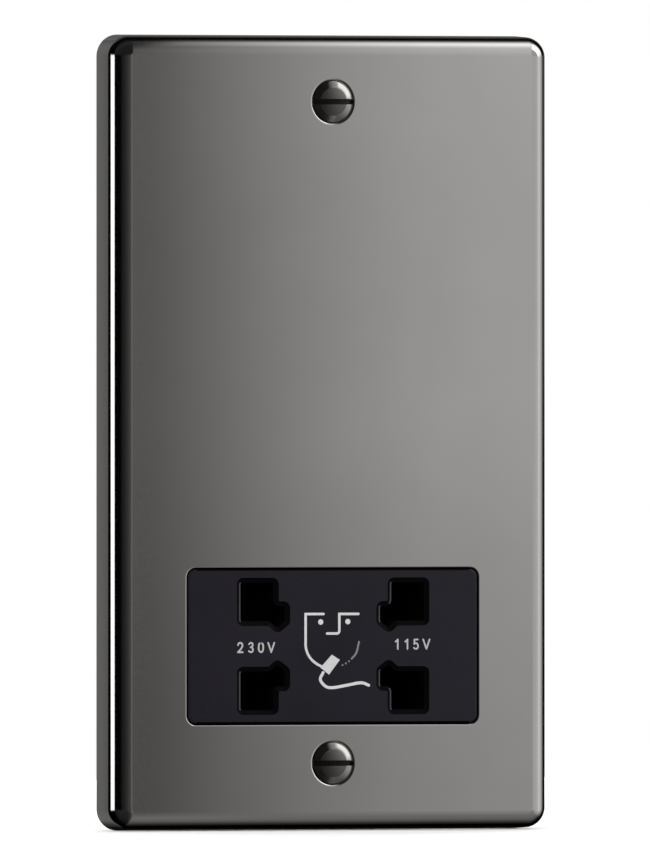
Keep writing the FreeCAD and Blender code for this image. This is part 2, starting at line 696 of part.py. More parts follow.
def winding(end):
    """One winding on the bobbin's tube."""
    z = coil_chamber(end)
    drawn_in = 2 * (WINDING_INSET + TAPE_THICKNESS)
    outer = sleeve(bobbin_width - drawn_in, BOBBIN_DEPTH - drawn_in, WINDING_BEVEL, z)
    return outer.cut(bobbin_tube(z))


def bobbin_tube(z):
    width = CORE_LEG + 2 * (BOBBIN_FIT + BOBBIN_WALL)
    depth = CORE_STACK + 2 * (BOBBIN_FIT + BOBBIN_WALL)
    return sleeve(width, depth, TUBE_BEVEL, z)


def tape(end):
    """The outer insulation round one winding."""
    z = coil_chamber(end)
    width = bobbin_width - 2 * WINDING_INSET
    depth = BOBBIN_DEPTH - 2 * WINDING_INSET
    outer = sleeve(width, depth, WINDING_BEVEL + TAPE_THICKNESS, z)
    inner = sleeve(width - 2 * TAPE_THICKNESS, depth - 2 * TAPE_THICKNESS, WINDING_BEVEL, z)
    return outer.cut(inner)


def thermal_cutout():
    """A flat cut-out strapped to the back of the primary winding."""
    back = coil_back - WINDING_INSET
    low, high = coil_chamber(-1)
    start = low + (high - low - CUTOUT_LENGTH) / 2
    body = block((live_x - CUTOUT_WIDTH / 2, live_x + CUTOUT_WIDTH / 2), (back, back + CUTOUT_THICKNESS),
                 (start, start + CUTOUT_LENGTH))
    long_edges = [e for e in body.Edges if e.BoundBox.ZLength > CUTOUT_LENGTH / 2]
    return body.makeChamfer(CUTOUT_THICKNESS / 4, long_edges)


def terminal_block():
    """The three-way moulding: a cavity for each terminal, open below for the supply wires."""
    half = TERMINAL_PITCH + TERMINAL_WIDTH / 2 + BLOCK_SIDE
    back = terminal_back + BLOCK_WALL
    low = terminal_low - TERMINAL_INSET
    high = terminal_high + BLOCK_WALL
    body = block((-half, half), (shelf_y, back), (low, high))
    body = body.makeChamfer(BLOCK_EDGE, flat_edges(body, back))
    cuts = []
    reach = TERMINAL_WIDTH / 2 + CAVITY_GAP
    for x in terminal_places():
        cuts.append(block((x - reach, x + reach), (terminal_front, terminal_back + CAVITY_GAP),
                          (low, terminal_high)))
        cuts.append(rod_y(CLAMP_RADIUS + DRIVER_GAP, x, clamp_z, terminal_back, back))
    for x in terminal_places()[:2]:
        cuts.append(terminal_tag(x, (shelf_y, terminal_front), TAG_SLOT_GAP))
    groove = STRAP_WIDTH / 2 + CAVITY_GAP
    cuts.append(block((earth_x - groove, earth_x + groove), (shelf_y, terminal_front),
                      (low, terminal_high)))
    return body.cut(cuts)


def terminal(x, has_tag):
    """A brass terminal with a wire hole from below and a tapped hole from behind."""
    body = block((x - TERMINAL_WIDTH / 2, x + TERMINAL_WIDTH / 2), (terminal_front, terminal_back),
                 (terminal_low, terminal_high))
    bore_y = terminal_front + TERMINAL_BORE_RISE
    if has_tag:
        body = body.fuse(terminal_tag(x, (shelf_inner - LEAD_RADIUS, terminal_front), 0.0))
    cuts = [rod_z(TERMINAL_BORE, x, bore_y, terminal_low, terminal_high),
            rod_y(CLAMP_RADIUS + THREAD_GAP, x, clamp_z, bore_y, terminal_back)]
    return body.cut(cuts)


def terminal_screw(x):
    """A slotted clamp screw, backed out clear of the wire hole."""
    top = terminal_back + CLAMP_PROUD
    shank = rod_y(CLAMP_RADIUS, x, clamp_z, terminal_back - CLAMP_SHANK, top)
    slot = block((x - CLAMP_RADIUS, x + CLAMP_RADIUS), (top - CLAMP_PROUD, top),
                 (clamp_z - SLOT_WIDTH / 2, clamp_z + SLOT_WIDTH / 2))
    return shank.cut(slot)


def earth_strap():
    """A bent strip from the plate's earth stud, under the body, to the earth terminal."""
    run_high = body_bottom - STRAP_BODY_GAP
    run_low = run_high - STRAP_SHEET
    foot_end = earth_stud_z - STRAP_WIDTH / 2
    back = terminal_front
    profile = [(flange_y, foot_end), (flange_y + STRAP_SHEET, foot_end), (flange_y + STRAP_SHEET, run_low),
               (back, run_low), (back, terminal_high), (back - STRAP_SHEET, terminal_high),
               (back - STRAP_SHEET, run_high), (flange_y, run_high)]
    points = [V(earth_x - STRAP_WIDTH / 2, y, z) for y, z in profile]
    strip = Part.Face(Part.makePolygon(points + points[:1])).extrude(V(STRAP_WIDTH, 0, 0))
    return strip.cut(rod_y(STUD_RADIUS + HOLE_GAP, earth_x, earth_stud_z, flange_y, flange_y + STRAP_SHEET))


def lead(points):
    """A lead along straight runs, with each corner of its route taken in two half turns."""
    corners = [V(*p) for p in points]
    path = [corners[0]]
    for before, at, after in zip(corners, corners[1:], corners[2:]):
        path.append(at + (before - at).normalize() * LEAD_TURN)
        path.append(at + (after - at).normalize() * LEAD_TURN)
    return bar(path + [corners[-1]], LEAD_RADIUS, LEAD_SIDES)


# Wiring lanes: the primary leads pass nearest the shelf, the secondary leads nearest the pocket
live_x = TERMINAL_TAG_OFFSET - TERMINAL_PITCH
neutral_x = TERMINAL_TAG_OFFSET
tag_edge = contact_x - CONTACT_SHEET / 2 - LEAD_RADIUS - LEAD_SEAT
primary_y = shelf_inner - LEAD_RADIUS - LEAD_SEAT
secondary_y = pocket_back + LEAD_RADIUS + LEAD_SEAT
coil_lead_y = coil_back + LEAD_RADIUS + LEAD_SEAT
turn_z = (divider_z + CORE_RISE - core_height / 2) / 2
supply_tag_z = clamp_z + TAG_WIDTH / 2 + LEAD_SEAT
upper_tag_z = socket_z + contact_z
lower_tag_z = socket_z - contact_z
common_x = APERTURE_INNER - WELL_MARGIN - 2 * TUNNEL_WALL
link_z = lower_tag_z - TAG_WIDTH / 2 - LEAD_RADIUS - LEAD_SEAT


def supply_lead(x, end_z):
    """From a supply terminal's tag up to the primary winding."""
    return lead([(x, primary_y, supply_tag_z), (x, primary_y, turn_z),
                 (x, coil_lead_y, turn_z), (x, coil_lead_y, end_z)])


def output_lead(x, tag_z):
    """From the secondary winding down to a contact's tag."""
    top = CORE_RISE + chamber_length / 2
    return lead([(x, coil_lead_y, top), (x, coil_lead_y, turn_z),
                 (x, secondary_y, turn_z), (x, secondary_y, tag_z)])


def common_lead():
    """From the secondary winding to the lower contact of the right-hand outlet."""
    top = CORE_RISE + chamber_length / 2
    return lead([(common_x, coil_lead_y, top), (common_x, coil_lead_y, turn_z),
                 (common_x, secondary_y, turn_z), (common_x, secondary_y, lower_tag_z),
                 (tag_edge + LEAD_RADIUS, secondary_y, lower_tag_z)])


def common_link():
    """The lead that joins the two lower contacts."""
    reach = contact_x + TAG_WIDTH / 2
    return lead([(-reach, secondary_y, link_z), (reach, secondary_y, link_z)])


def save(name, shapes):
    """Writes one node; a list becomes a group of separate solids."""
    shape = shapes[0] if len(shapes) == 1 else Part.makeCompound(shapes)
    shape.exportStep(os.path.join("parts", name + ".step"))


def nut_seats():
    """Each stud's place and the face its nut bears on."""
    places = stud_places()
    return [(x, z, flange_y) for x, z in places[:-1]] + [places[-1] + (flange_y + STRAP_SHEET,)]


def main():
    os.makedirs("parts", exist_ok=True)
    save("front_plate", [front_plate()])
    save("fixing_screws", [fixing_screw(side * fixing_z) for side in (-1, 1)])
    save("socket_face", [socket_face()])
    save("interlock_shutter", [interlock_shutter()])
    save("shutter_spring_left", [shutter_spring(-1)])
    save("shutter_spring_right", [shutter_spring(1)])
    save("contact_carrier", [contact_carrier()])
    for side, volts in ((-1, "230"), (1, "115")):
        for end, place in ((1, "upper"), (-1, "lower")):
            save("contact_%s_%s" % (volts, place), [contact(side, end)])
    save("plate_studs", [plate_stud(x, z) for x, z in stud_places()])
    save("plate_nuts", [plate_nut(x, z, seat) for x, z, seat in nut_seats()])
    save("chassis", [chassis()])
    save("transformer_core", [transformer_core()])
    bite = CORE_STACK + SCREW_BITE
    save("core_screws", [small_screw(x, z, core_back, bite) for x, z in core_hole_places()])
    save("transformer_bobbin", [transformer_bobbin()])
    save("primary_winding", [winding(-1)])
    save("secondary_winding", [winding(1)])
    save("primary_tape", [tape(-1)])
    save("secondary_tape", [tape(1)])
    save("thermal_cutout", [thermal_cutout()])
    save("rear_cover", [rear_cover()])
    save("cover_screws", [small_screw(x, z, cover_screw_seat, 2 * SCREW_BITE) for x, z in post_places()])
    save("terminal_block", [terminal_block()])
    names = ("terminal_live", "terminal_neutral", "terminal_earth")
    for name, x in zip(names, terminal_places()):
        save(name, [terminal(x, name != "terminal_earth")])
    save("terminal_screws", [terminal_screw(x) for x in terminal_places()])
    save("earth_strap", [earth_strap()])
    cutout_low = coil_chamber(-1)[0] + (chamber_length - CUTOUT_LENGTH) / 2
    save("live_lead", [supply_lead(live_x, cutout_low - LEAD_SEAT)])
    save("neutral_lead", [supply_lead(neutral_x, CORE_RISE - chamber_length / 2)])
    save("lead_230", [output_lead(-tag_edge, upper_tag_z)])
    save("lead_115", [output_lead(tag_edge, upper_tag_z)])
    save("lead_common", [common_lead()])
    save("common_link", [common_link()])


main()
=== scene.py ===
"""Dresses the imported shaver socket: polished plate, slotted screws, marked black face, springs, studio."""

import json
import math

import bmesh
import bpy
from mathutils import Matrix, Vector


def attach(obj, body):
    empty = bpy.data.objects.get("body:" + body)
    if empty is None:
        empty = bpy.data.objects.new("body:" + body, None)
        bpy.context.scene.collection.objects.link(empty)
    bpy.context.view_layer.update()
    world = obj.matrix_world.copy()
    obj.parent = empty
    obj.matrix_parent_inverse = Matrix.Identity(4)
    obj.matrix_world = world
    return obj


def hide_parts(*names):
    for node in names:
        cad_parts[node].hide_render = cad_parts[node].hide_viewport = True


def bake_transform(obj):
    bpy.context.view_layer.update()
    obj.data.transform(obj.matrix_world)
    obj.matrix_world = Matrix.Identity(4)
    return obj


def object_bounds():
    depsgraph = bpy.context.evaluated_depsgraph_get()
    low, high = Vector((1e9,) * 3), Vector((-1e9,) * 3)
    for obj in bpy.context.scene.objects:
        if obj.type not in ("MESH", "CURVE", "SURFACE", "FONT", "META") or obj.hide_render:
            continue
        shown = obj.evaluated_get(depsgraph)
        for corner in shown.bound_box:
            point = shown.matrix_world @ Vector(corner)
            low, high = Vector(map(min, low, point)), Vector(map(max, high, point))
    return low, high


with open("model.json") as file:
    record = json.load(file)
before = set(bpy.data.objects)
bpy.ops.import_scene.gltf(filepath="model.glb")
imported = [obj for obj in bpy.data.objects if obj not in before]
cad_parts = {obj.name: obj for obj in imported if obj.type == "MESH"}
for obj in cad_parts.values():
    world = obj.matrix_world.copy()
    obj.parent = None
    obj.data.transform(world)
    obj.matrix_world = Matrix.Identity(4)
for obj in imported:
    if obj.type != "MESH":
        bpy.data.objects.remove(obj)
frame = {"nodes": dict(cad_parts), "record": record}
cad_low, cad_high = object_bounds()

# Lengths are in millimetres and turned into metres where they are used
MM = 0.001
UNIT = "unit"

# Plate: the outline at the wall, the pressed depth and the rounded front edge
PLATE_WIDTH = 85.5
PLATE_HEIGHT = 145.0
PLATE_DEPTH = 8.7
PLATE_SHEET = 1.0
PLATE_CORNER = 4.0
PLATE_EDGE = 3.45
PLATE_DRAFT = math.radians(2.5)

# Fineness of round forms, the strip of flat that keeps shading even beside a rounded edge, and the degrees
# above which an edge looks sharp, on most pieces and on wound or threaded ones
EDGE_STEPS = 20
CORNER_STEPS = 20
EASE_STEPS = 6
SEAT_STEPS = 96
HEAD_STEPS = 120
DOME_STEPS = 24
SHANK_STEPS = 36
FILLET_STEPS = 6
SUPPORT = 0.06
SHARP = 32.0
SHARP_WOUND = 50.0

# Screw seats, dished into the plate at a slope in degrees
FIXING_Z = 60.3
SEAT_TOP = 4.13
SEAT_HOLE = 1.95
SEAT_LIP = 0.5
SEAT_SLOPE = 45

# Screws: the raised head and its rough crown with a painted dark reflection in the middle, the slot, and the
# shank with its thread and tip
HEAD_RADIUS = 3.75
HEAD_RIM = 0.25
HEAD_SINK = 0.1
HEAD_DOME = 0.9
HEAD_EDGE = PLATE_DEPTH - HEAD_SINK
HEAD_TOP = HEAD_EDGE + HEAD_DOME
HEAD_EASE = 0.06
HEAD_EASE_ANGLE = math.radians(40)
CROWN_RADIUS = 2.6
SLOT_WIDTH = 1.0
SLOT_DEPTH = 1.3
SLOT_PAST = 1.0
SLOT_WALL_SLACK = 0.005
SLOT_FLOOR_SLACK = 0.05
SHANK_RADIUS = 1.75
SHANK_END = 21.3
NECK_LENGTH = 0.4
NECK_LAP = 0.05
THREAD_PITCH = 0.6
THREAD_DEPTH = 0.3
THREAD_ROWS = 8
TIP_LENGTH = 1.2
TIP_INSET = 0.5

# Socket face: outline, levels, tunnels, chamber and stops, measured from the face's centre
SOCKET_Z = -38.95
SOCKET_WIDTH = 56.3
SOCKET_HEIGHT = 28.1
SOCKET_CORNER = 1.5
SOCKET_EDGE = 0.4
SOCKET_FRONT = 8.9
SOCKET_LINER = 7.7
SOCKET_FLANGE = 5.7
SOCKET_LAP = 1.4
WINDOW_GAP = 0.2
WINDOW_EDGE = 0.3
TUNNEL_END = 4.3
TUNNEL_WALL = 0.95
CHAMBER_BACK = -1.2
CHAMBER_HALF_X = 26.1
CHAMBER_HALF_Z = 13.0
SKIRT_WALL = 1.2
STOP_PAD = 0.65
STOP_NEAR = 5.2
STOP_FAR = 9.2

# The upper right aperture as (x, z, corner radius), its soft rim inwards as (widening, drop), the strip of
# flat beside the rim, and the turn in radians below which a corner isn't rounded
APERTURE = [(17.9, 11.6, 0.35), (11.5, 11.6, 0.35), (11.5, 7.3, 1.1), (9.3, 7.3, 0.35), (9.3, 4.55, 0.35),
            (10.86, 3.36, 0.35), (12.26, 4.6, 1.1), (17.9, 4.6, 0.35)]
RIM = [(0.9, 0.0), (0.86, 0.03), (0.36, 0.3), (0.32, 0.32), (0.03, 0.42), (0.0, 0.46)]
RIM_SUPPORT = 0.05
LEAST_TURN = 1e-6

# Where the face has painted shade and a painted highlight: how far from the middle the rims lie, how
# squarely a flat part faces the front, and the drops between which a rim gets a painted highlight, paler
# where its normal turns far enough to the right
RIM_REACH = SOCKET_WIDTH / 3
FLAT_FACING = 0.98
SLOPE_TOP = RIM[3][1]
SLOPE_END = RIM[4][1]
SLOPE_TURN = 0.25

# Marks on the face: height, step between layers, depth of the foot, and the lines' widths and fineness
MARK_PROUD = 0.04
MARK_LIFT = 0.02
MARK_SINK = 0.03
STROKE = 0.46
LEAD_STROKE = 0.54
CHEEK_STROKE = 0.36
NUMERAL_STROKE = 0.3
MITRE_LEAST = 0.5
CAP_ANGLE = 60
CAP_STEPS = 4
DISC_STEPS = 24
JAW_STEPS = 10
NOSE_STEPS = 5
PATH_STEPS = 8
NUMERAL_STEPS = 6

# The shaver sign as (x, z) points from the face's centre, with the layers of the pieces that cross others
SIGN_LEFT_BROW = [(-1.9, 5.86), (-5.39, 5.86), (-5.39, 0.18)]
SIGN_JAW = [(-5.39, 0.18), (-5.3, -1.7), (-4.0, -3.0), (-2.35, -3.67)]
SIGN_RIGHT_BROW = [(4.9, 5.86), (1.18, 5.86), (1.18, 2.74)]
SIGN_NOSE = [(1.18, 2.74), (1.1, 2.4), (0.9, 2.3), (0.5, 2.3)]
SIGN_NOSE_TIP = (-1.22, 2.3)
SIGN_EYES = [(-2.45, 4.4), (2.84, 4.46)]
SIGN_EYE_RADIUS = 0.5
SIGN_SHAVER = [(-0.29, -1.57), (1.27, -2.5), (-0.86, -5.19), (-2.53, -3.91)]
SIGN_SHAVER_LAYER = 2
SIGN_LEAD = [(-1.98, -4.82), (-2.53, -6.1), (-1.47, -7.34), (0.02, -7.56), (2.9, -7.1), (5.41, -6.7),
             (6.9, -7.16)]
SIGN_LEAD_LAYER = 1
SIGN_CHEEK = [(5.01, 0.75), (4.5, -1.2), (3.6, -2.3)]
SIGN_DOTS = [(3.05, -2.78), (2.45, -3.16), (1.8, -3.46)]

# Numerals as lines in a unit square, and the two voltages as each numeral's left and right limits
NUMERAL_HEIGHT = 2.0
NUMERAL_LAYERS = 3
NUMERALS = {
    "0": [[(0.5, 1.0), (0.12, 0.86), (0.0, 0.5), (0.12, 0.14), (0.5, 0.0), (0.88, 0.14), (1.0, 0.5),
           (0.88, 0.86), (0.5, 1.0)]],
    "1": [[(0.0, 0.78), (0.3, 0.87), (0.62, 1.0)], [(0.62, 1.0), (0.62, 0.5), (0.62, 0.0)]],
    "2": [[(0.04, 0.76), (0.2, 0.95), (0.5, 1.0), (0.82, 0.93), (0.94, 0.72), (0.8, 0.48), (0.42, 0.22),
           (0.02, 0.0)],
          [(0.02, 0.0), (0.5, 0.0), (1.0, 0.0)]],
    "3": [[(0.04, 0.86), (0.42, 1.0), (0.84, 0.92), (0.9, 0.72), (0.72, 0.56), (0.4, 0.52)],
          [(0.4, 0.52), (0.78, 0.48), (0.98, 0.28), (0.86, 0.06), (0.42, 0.0), (0.0, 0.12)]],
    "5": [[(0.9, 1.0), (0.5, 1.0), (0.12, 1.0)], [(0.12, 1.0), (0.1, 0.75), (0.06, 0.52)],
          [(0.06, 0.52), (0.45, 0.62), (0.86, 0.5), (1.0, 0.28), (0.84, 0.06), (0.42, 0.0), (0.0, 0.1)]],
    "V": [[(0.0, 1.0), (0.25, 0.5), (0.5, 0.0)], [(0.5, 0.0), (0.75, 0.5), (1.0, 1.0)]],
}
MARK_230 = [("2", -18.75, -17.5), ("3", -16.6, -15.5), ("0", -14.7, -13.5), ("V", -12.85, -11.35)]
MARK_230_Z = -0.2
MARK_115 = [("1", 12.0, 13.0), ("1", 13.9, 14.9), ("5", 15.6, 16.7), ("V", 17.4, 18.95)]
MARK_115_Z = 0.3

# Centring springs
SPRING_RADIUS = 1.3
SPRING_WIRE = 0.28
SPRING_TURNS = 4
SPRING_NEAR = 13.78
SPRING_FAR = 25.82
SPRING_DEPTH = -1.55
SPRING_STEPS = 32
SPRING_SIDES = 10

# Mottling of materials: noise levels between which a value changes, the noise's scales, depth of relief
NOISE_LOW = 0.3
NOISE_HIGH = 0.7
METAL_MOTTLE = 60.0
PLASTIC_MOTTLE = 90.0
PLASTIC_SHEEN = 400.0
LINED_SHEEN = 300.0
RELIEF_DEPTH = 0.02

# Camera: the photograph's frame and viewing angle
IMAGE_HEIGHT = 868
PIXELS_PER_MM = 5.476
CAMERA_AZIMUTH = -20.8
CAMERA_ELEVATION = 0.15
CAMERA_LENS = 1200.0
CAMERA_NEAR = 100.0
CAMERA_FAR = 50000.0
SENSOR = 36.0
AIM_RIGHT = 1.66
AIM_UP = -0.3

# Floor and soft lamps: the lamps as name, place and watts, each a square that aims at the part's middle
FLOOR_GAP = 0.05
FLOOR_HALF = 600.0
FLOOR_GREY = 0.9
FLOOR_ROUGHNESS = 0.8
LAMPS = [("lamp_key", (-500, -700, 600), 6.0), ("lamp_back", (400, 700, 500), 5.0)]
LAMP_SIDE = 500.0

# The lit sheet that the plate's front and upper edge mirror: a curve, in degrees upwards, whose rows line up
# with places on the plate within its reach. High up, the brightness across is pushed to the right by a share
# of the sheet's width
SHEET_RADIUS = 260.0
SHEET_HALF = 60.0
SHEET_LOW = -56
SHEET_HIGH = 106
SHEET_STEP = 3
SHEET_REACH = 68.0
SHEET_SKEW = 0.1
SHEET_SKEW_START = 40
SHEET_SKEW_END = 78

# The sheet's brightness by place across and by degrees upwards, and how its edges fade into the studio
SHEET_ACROSS = [(-60, 0.14), (-46, 0.18), (-37.9, 0.222), (-19.1, 0.45), (-0.5, 0.67), (19, 0.84),
                (37.6, 0.91), (60, 0.95)]
SHEET_UP = [(-56, 0.745), (-15, 0.745), (-12.5, 0.757), (-4.3, 0.887), (-0.7, 0.98), (5.3, 1.0), (9.4, 1.0),
            (12.7, 1.05), (15.2, 1.06), (34, 1.24), (56, 1.36), (62, 1.6), (67.5, 2.03), (73, 2.5),
            (78, 2.74), (84, 2.23), (90, 1.12), (96.7, 0.2), (104, 0.0)]
SHEET_FADE_SIDE = [(-52, 0.0), (-43, 1.0), (50, 1.0), (60, 0.0)]
SHEET_FADE_UP = [(-54, 0.0), (-22, 1.0)]

# The studio that the metal mirrors past the sheet: brightness by degrees to the left of the front, near the
# horizon, and by degrees up from the front, away from it
AROUND = [(-180, 0.28), (-172, 0.17), (-150, 0.15), (-125, 0.1), (-105, 0.05), (-90, 0.8), (-69, 1.5),
          (-55, 1.1), (-40, 0.95), (-24, 0.9), (-14, 0.17), (-6, 0.125), (7.4, 0.078), (25, 0.04),
          (43, 0.016), (51, 0.0), (90, 0.0), (91.5, 3.0), (120.5, 3.0), (122, 0.0), (150, 0.0), (153, 0.28),
          (162, 0.28), (180, 0.15)]
OVER = [(-180, 0.0), (-110, 0.0), (-105, 0.01), (-96, 0.04), (-87, 0.085), (-79, 0.16), (-71, 0.234),
        (-60, 0.32), (-50, 0.353), (-18, 0.41), (0, 0.65), (20, 0.82), (46, 0.9), (53, 0.98), (60, 1.17),
        (67, 1.44), (74, 1.57), (82, 1.28), (90, 0.64), (99, 0.13), (109, 0.0), (180, 0.0)]
BRIGHTEST = 4.5

# Where OVER takes the place of AROUND, by the direction's height and by its part to the front
STEEP = [(0.05, 0.0), (0.14, 1.0)]
BEFORE = [(-0.9, 0.0), (-0.5, 1.0)]

# Above the horizon, the share of OVER by the direction's part to the right. Below it, by degrees to the
# left, the shares of OVER and of AROUND, and of the height that STEEP goes by
ABOVE_RIGHT = [(-1.0, 0.03), (0.37, 0.03), (0.42, 1.0), (1.0, 1.0)]
BELOW_SIDE = [(-180, 1.0), (-23, 1.0), (-10, 0.25), (8, 0.1), (180, 0.1)]
BELOW_BACK = [(-180, 0.3), (-170, 0.04), (-120, 0.04), (-100, 1.0), (168, 1.0), (180, 0.3)]
BELOW_FIRM = [(-180, 0.25), (-40, 0.25), (-5, 1.0), (180, 1.0)]

# A curved lamp by the cosine from the mirrored line of sight, and by degrees round that line upwards from
# the right
LAMP_RING = [(0.22, 0.0), (0.36, 0.5), (0.54, 0.5), (0.58, 0.25), (0.64, 1.0), (0.76, 1.0), (0.82, 0.0)]
LAMP_SECTOR = [(2, 0.0), (18, 1.0), (62, 1.0), (76, 0.0)]


def arc(start, end, steps):
    """Angles from start to end in degrees, both included, as radians."""
    return [math.radians(start + (end - start) * i / steps) for i in range(steps + 1)]


def rounded_ring(half_x, half_z, radius, centre_z=0.0):
    """Points of a rounded rectangle, counter-clockwise seen from the front, from the upper right corner."""
    ring = []
    for i, (a, b) in enumerate([(1, 1), (-1, 1), (-1, -1), (1, -1)]):
        for t in arc(90 * i, 90 * i + 90, CORNER_STEPS):
            ring.append((a * (half_x - radius) + radius * math.cos(t),
                         centre_z + b * (half_z - radius) + radius * math.sin(t)))
    return ring


def circle_ring(radius, centre_z, steps):
    """Points of a circle, counter-clockwise seen from the front, from the right."""
    turn = 2 * math.pi / steps
    return [(radius * math.cos(i * turn), centre_z + radius * math.sin(i * turn)) for i in range(steps)]


def mesh_of(name, bm):
    """Ends a form's building and gives its mesh."""
    mesh = bpy.data.meshes.new(name)
    bm.to_mesh(mesh)
    bm.free()
    return mesh


def linked(name, data):
    """A new object in the scene."""
    obj = bpy.data.objects.new(name, data)
    bpy.context.scene.collection.objects.link(obj)
    return obj


def dressed(name, mesh, sharp=SHARP):
    """Links a mesh as an object, smooth but for its sharp edges."""
    mesh.shade_smooth()
    mesh.set_sharp_from_angle(angle=math.radians(sharp))
    return linked(name, mesh)


class Shell:
    """Collects loops of vertices, with depth counted from the wall towards the viewer."""

    def __init__(self):
        self.bm = bmesh.new()

    def loop(self, ring, depth):
        return [self.bm.verts.new((x * MM, -depth * MM, z * MM)) for x, z in ring]

    def bridge(self, first, second):
        count = len(first)
        for i in range(count):
            j = (i + 1) % count
            self.bm.faces.new((first[i], first[j], second[j], second[i]))

    def stack(self, loops):
        for first, second in zip(loops, loops[1:]):
            self.bridge(first, second)

    def rod(self, loops):
        """Joins loops into a closed form with an end face at either end."""
        self.stack(loops)
        for ring in (loops[0], loops[-1]):
            self.bm.faces.new(ring)

    def fill(self, *loops):
        """Fills the flat area between an outer loop and the loops of its holes."""
        edges = []
        for ring in loops:
            for i, v in enumerate(ring):
                w = ring[(i + 1) % len(ring)]
                edges.append(self.bm.edges.get((v, w)) or self.bm.edges.new((v, w)))
        bmesh.ops.triangle_fill(self.bm, use_beauty=True, use_dissolve=False, edges=edges)

    def box(self, low, high):
        made = bmesh.ops.create_cube(self.bm, size=1.0)["verts"]
        for v in made:
            v.co = Vector([MM * (low[k] if v.co[k] < 0 else high[k]) for k in range(3)])

    def piece(self, name, sharp=SHARP):
        bmesh.ops.recalc_face_normals(self.bm, faces=self.bm.faces)
        return dressed(name, mesh_of(name, self.bm), sharp)


def settle(obj, body, slot, material, *nodes):
    """Puts a finished piece on its body, with its material, in place of the CAD nodes named. The slot is not
    used.
    """
    obj.data.materials.clear()
    obj.data.materials.append(material)
    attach(obj, body)
    if nodes:
        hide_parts(*nodes)
    return obj


def eased(radius, top):
    """(inset, depth) pairs over a quarter-round edge, from the flat beside it to its wall."""
    points = [(radius + SUPPORT, top)]
    for t in arc(0, 90, EASE_STEPS):
        points.append((radius * (1 - math.sin(t)), top - radius * (1 - math.cos(t))))
    return points


def edge_profile(sheet):
    """(inset, depth) pairs round the plate's edge, from wall to flat face, for its outer or inner side."""
    radius = PLATE_EDGE - sheet
    depth = PLATE_DEPTH - sheet
    centre_depth = depth - radius
    centre_inset = sheet + radius / math.cos(PLATE_DRAFT) + centre_depth * math.tan(PLATE_DRAFT)
    points = [(sheet, 0.0)]
    for t in arc(90 - math.degrees(PLATE_DRAFT), 0, EDGE_STEPS):
        points.append((centre_inset - radius * math.sin(t), centre_depth + radius * math.cos(t)))
    points.append((centre_inset + SUPPORT, depth))
    return points


def plate_loops(shell, sheet):
    """Loops over the plate's outer or inner side."""
    return [shell.loop(rounded_ring(PLATE_WIDTH / 2 - s, PLATE_HEIGHT / 2 - s, PLATE_CORNER - s), d)
            for s, d in edge_profile(sheet)]


def seat_profile():
    """(radius, depth) pairs through a dished seat, from the face round the hole to the plate's back."""
    slope = math.radians(SEAT_SLOPE)
    start = SEAT_TOP + SEAT_LIP * math.tan(slope / 2)
    points = [(start + SUPPORT, PLATE_DEPTH)]
    for t in arc(0, SEAT_SLOPE, EASE_STEPS):
        points.append((start - SEAT_LIP * math.sin(t), PLATE_DEPTH - SEAT_LIP * (1 - math.cos(t))))
    seat_end = PLATE_DEPTH - (SEAT_TOP - SEAT_HOLE) * math.tan(slope)
    wide = PLATE_SHEET / math.sin(slope)
    points += [(SEAT_HOLE, seat_end), (SEAT_HOLE + wide, seat_end),
               (SEAT_TOP - PLATE_SHEET / math.tan(slope) + wide, PLATE_DEPTH - PLATE_SHEET)]
    return points


def build_plate():
    """The pressed plate with its window and two dished seats."""
    shell = Shell()
    outer = plate_loops(shell, 0.0)
    inner = plate_loops(shell, PLATE_SHEET)
    shell.stack(outer)
    shell.stack(inner)
    shell.bridge(outer[0], inner[0])
    half_x = SOCKET_WIDTH / 2 + WINDOW_GAP
    half_z = SOCKET_HEIGHT / 2 + WINDOW_GAP
    corner = SOCKET_CORNER + WINDOW_GAP
    profile = eased(WINDOW_EDGE, PLATE_DEPTH) + [(0.0, PLATE_DEPTH - PLATE_SHEET)]
    window = [shell.loop(rounded_ring(half_x + s, half_z + s, corner + s, SOCKET_Z), d) for s, d in profile]
    shell.stack(window)
    fronts = [window[0]]
    backs = [window[-1]]
    for side in (-1, 1):
        seat = [shell.loop(circle_ring(r, side * FIXING_Z, SEAT_STEPS), d) for r, d in seat_profile()]
        shell.stack(seat)
        fronts.append(seat[0])
        backs.append(seat[-1])
    shell.fill(outer[-1], *fronts)
    shell.fill(inner[-1], *backs)
    return shell.piece("plate")


def lathe(name, profile, steps):
    """A closed turned form about Y from (radius, depth) pairs that start and end on the axis."""
    shell = Shell()
    loops = [shell.loop(circle_ring(r, 0.0, steps), d) for r, d in profile[1:-1]]
    shell.stack(loops)
    for (_, depth), ring, order in ((profile[0], loops[0], 1), (profile[-1], loops[-1], -1)):
        tip = shell.bm.verts.new((0, -depth * MM, 0))
        for i in range(steps):
            shell.bm.faces.new((tip, ring[i], ring[(i + 1) % steps])[::order])
    return shell.piece(name)


def head_profile():
    """(radius, depth) pairs of the raised countersunk head, from its crown to the shank."""
    sphere = (HEAD_RADIUS ** 2 + HEAD_DOME ** 2) / (2 * HEAD_DOME)
    widest = math.degrees(math.asin(HEAD_RADIUS / sphere))
    points = [(0.0, HEAD_TOP)]
    for t in arc(0, widest, DOME_STEPS)[1:]:
        points.append((sphere * math.sin(t), HEAD_TOP - sphere * (1 - math.cos(t))))
    cone = HEAD_EDGE - HEAD_RIM
    neck = cone - (HEAD_RADIUS - SHANK_RADIUS)
    end = neck - NECK_LENGTH
    return points + [(HEAD_RADIUS, cone), (SHANK_RADIUS, neck), (SHANK_RADIUS, end), (0.0, end)]


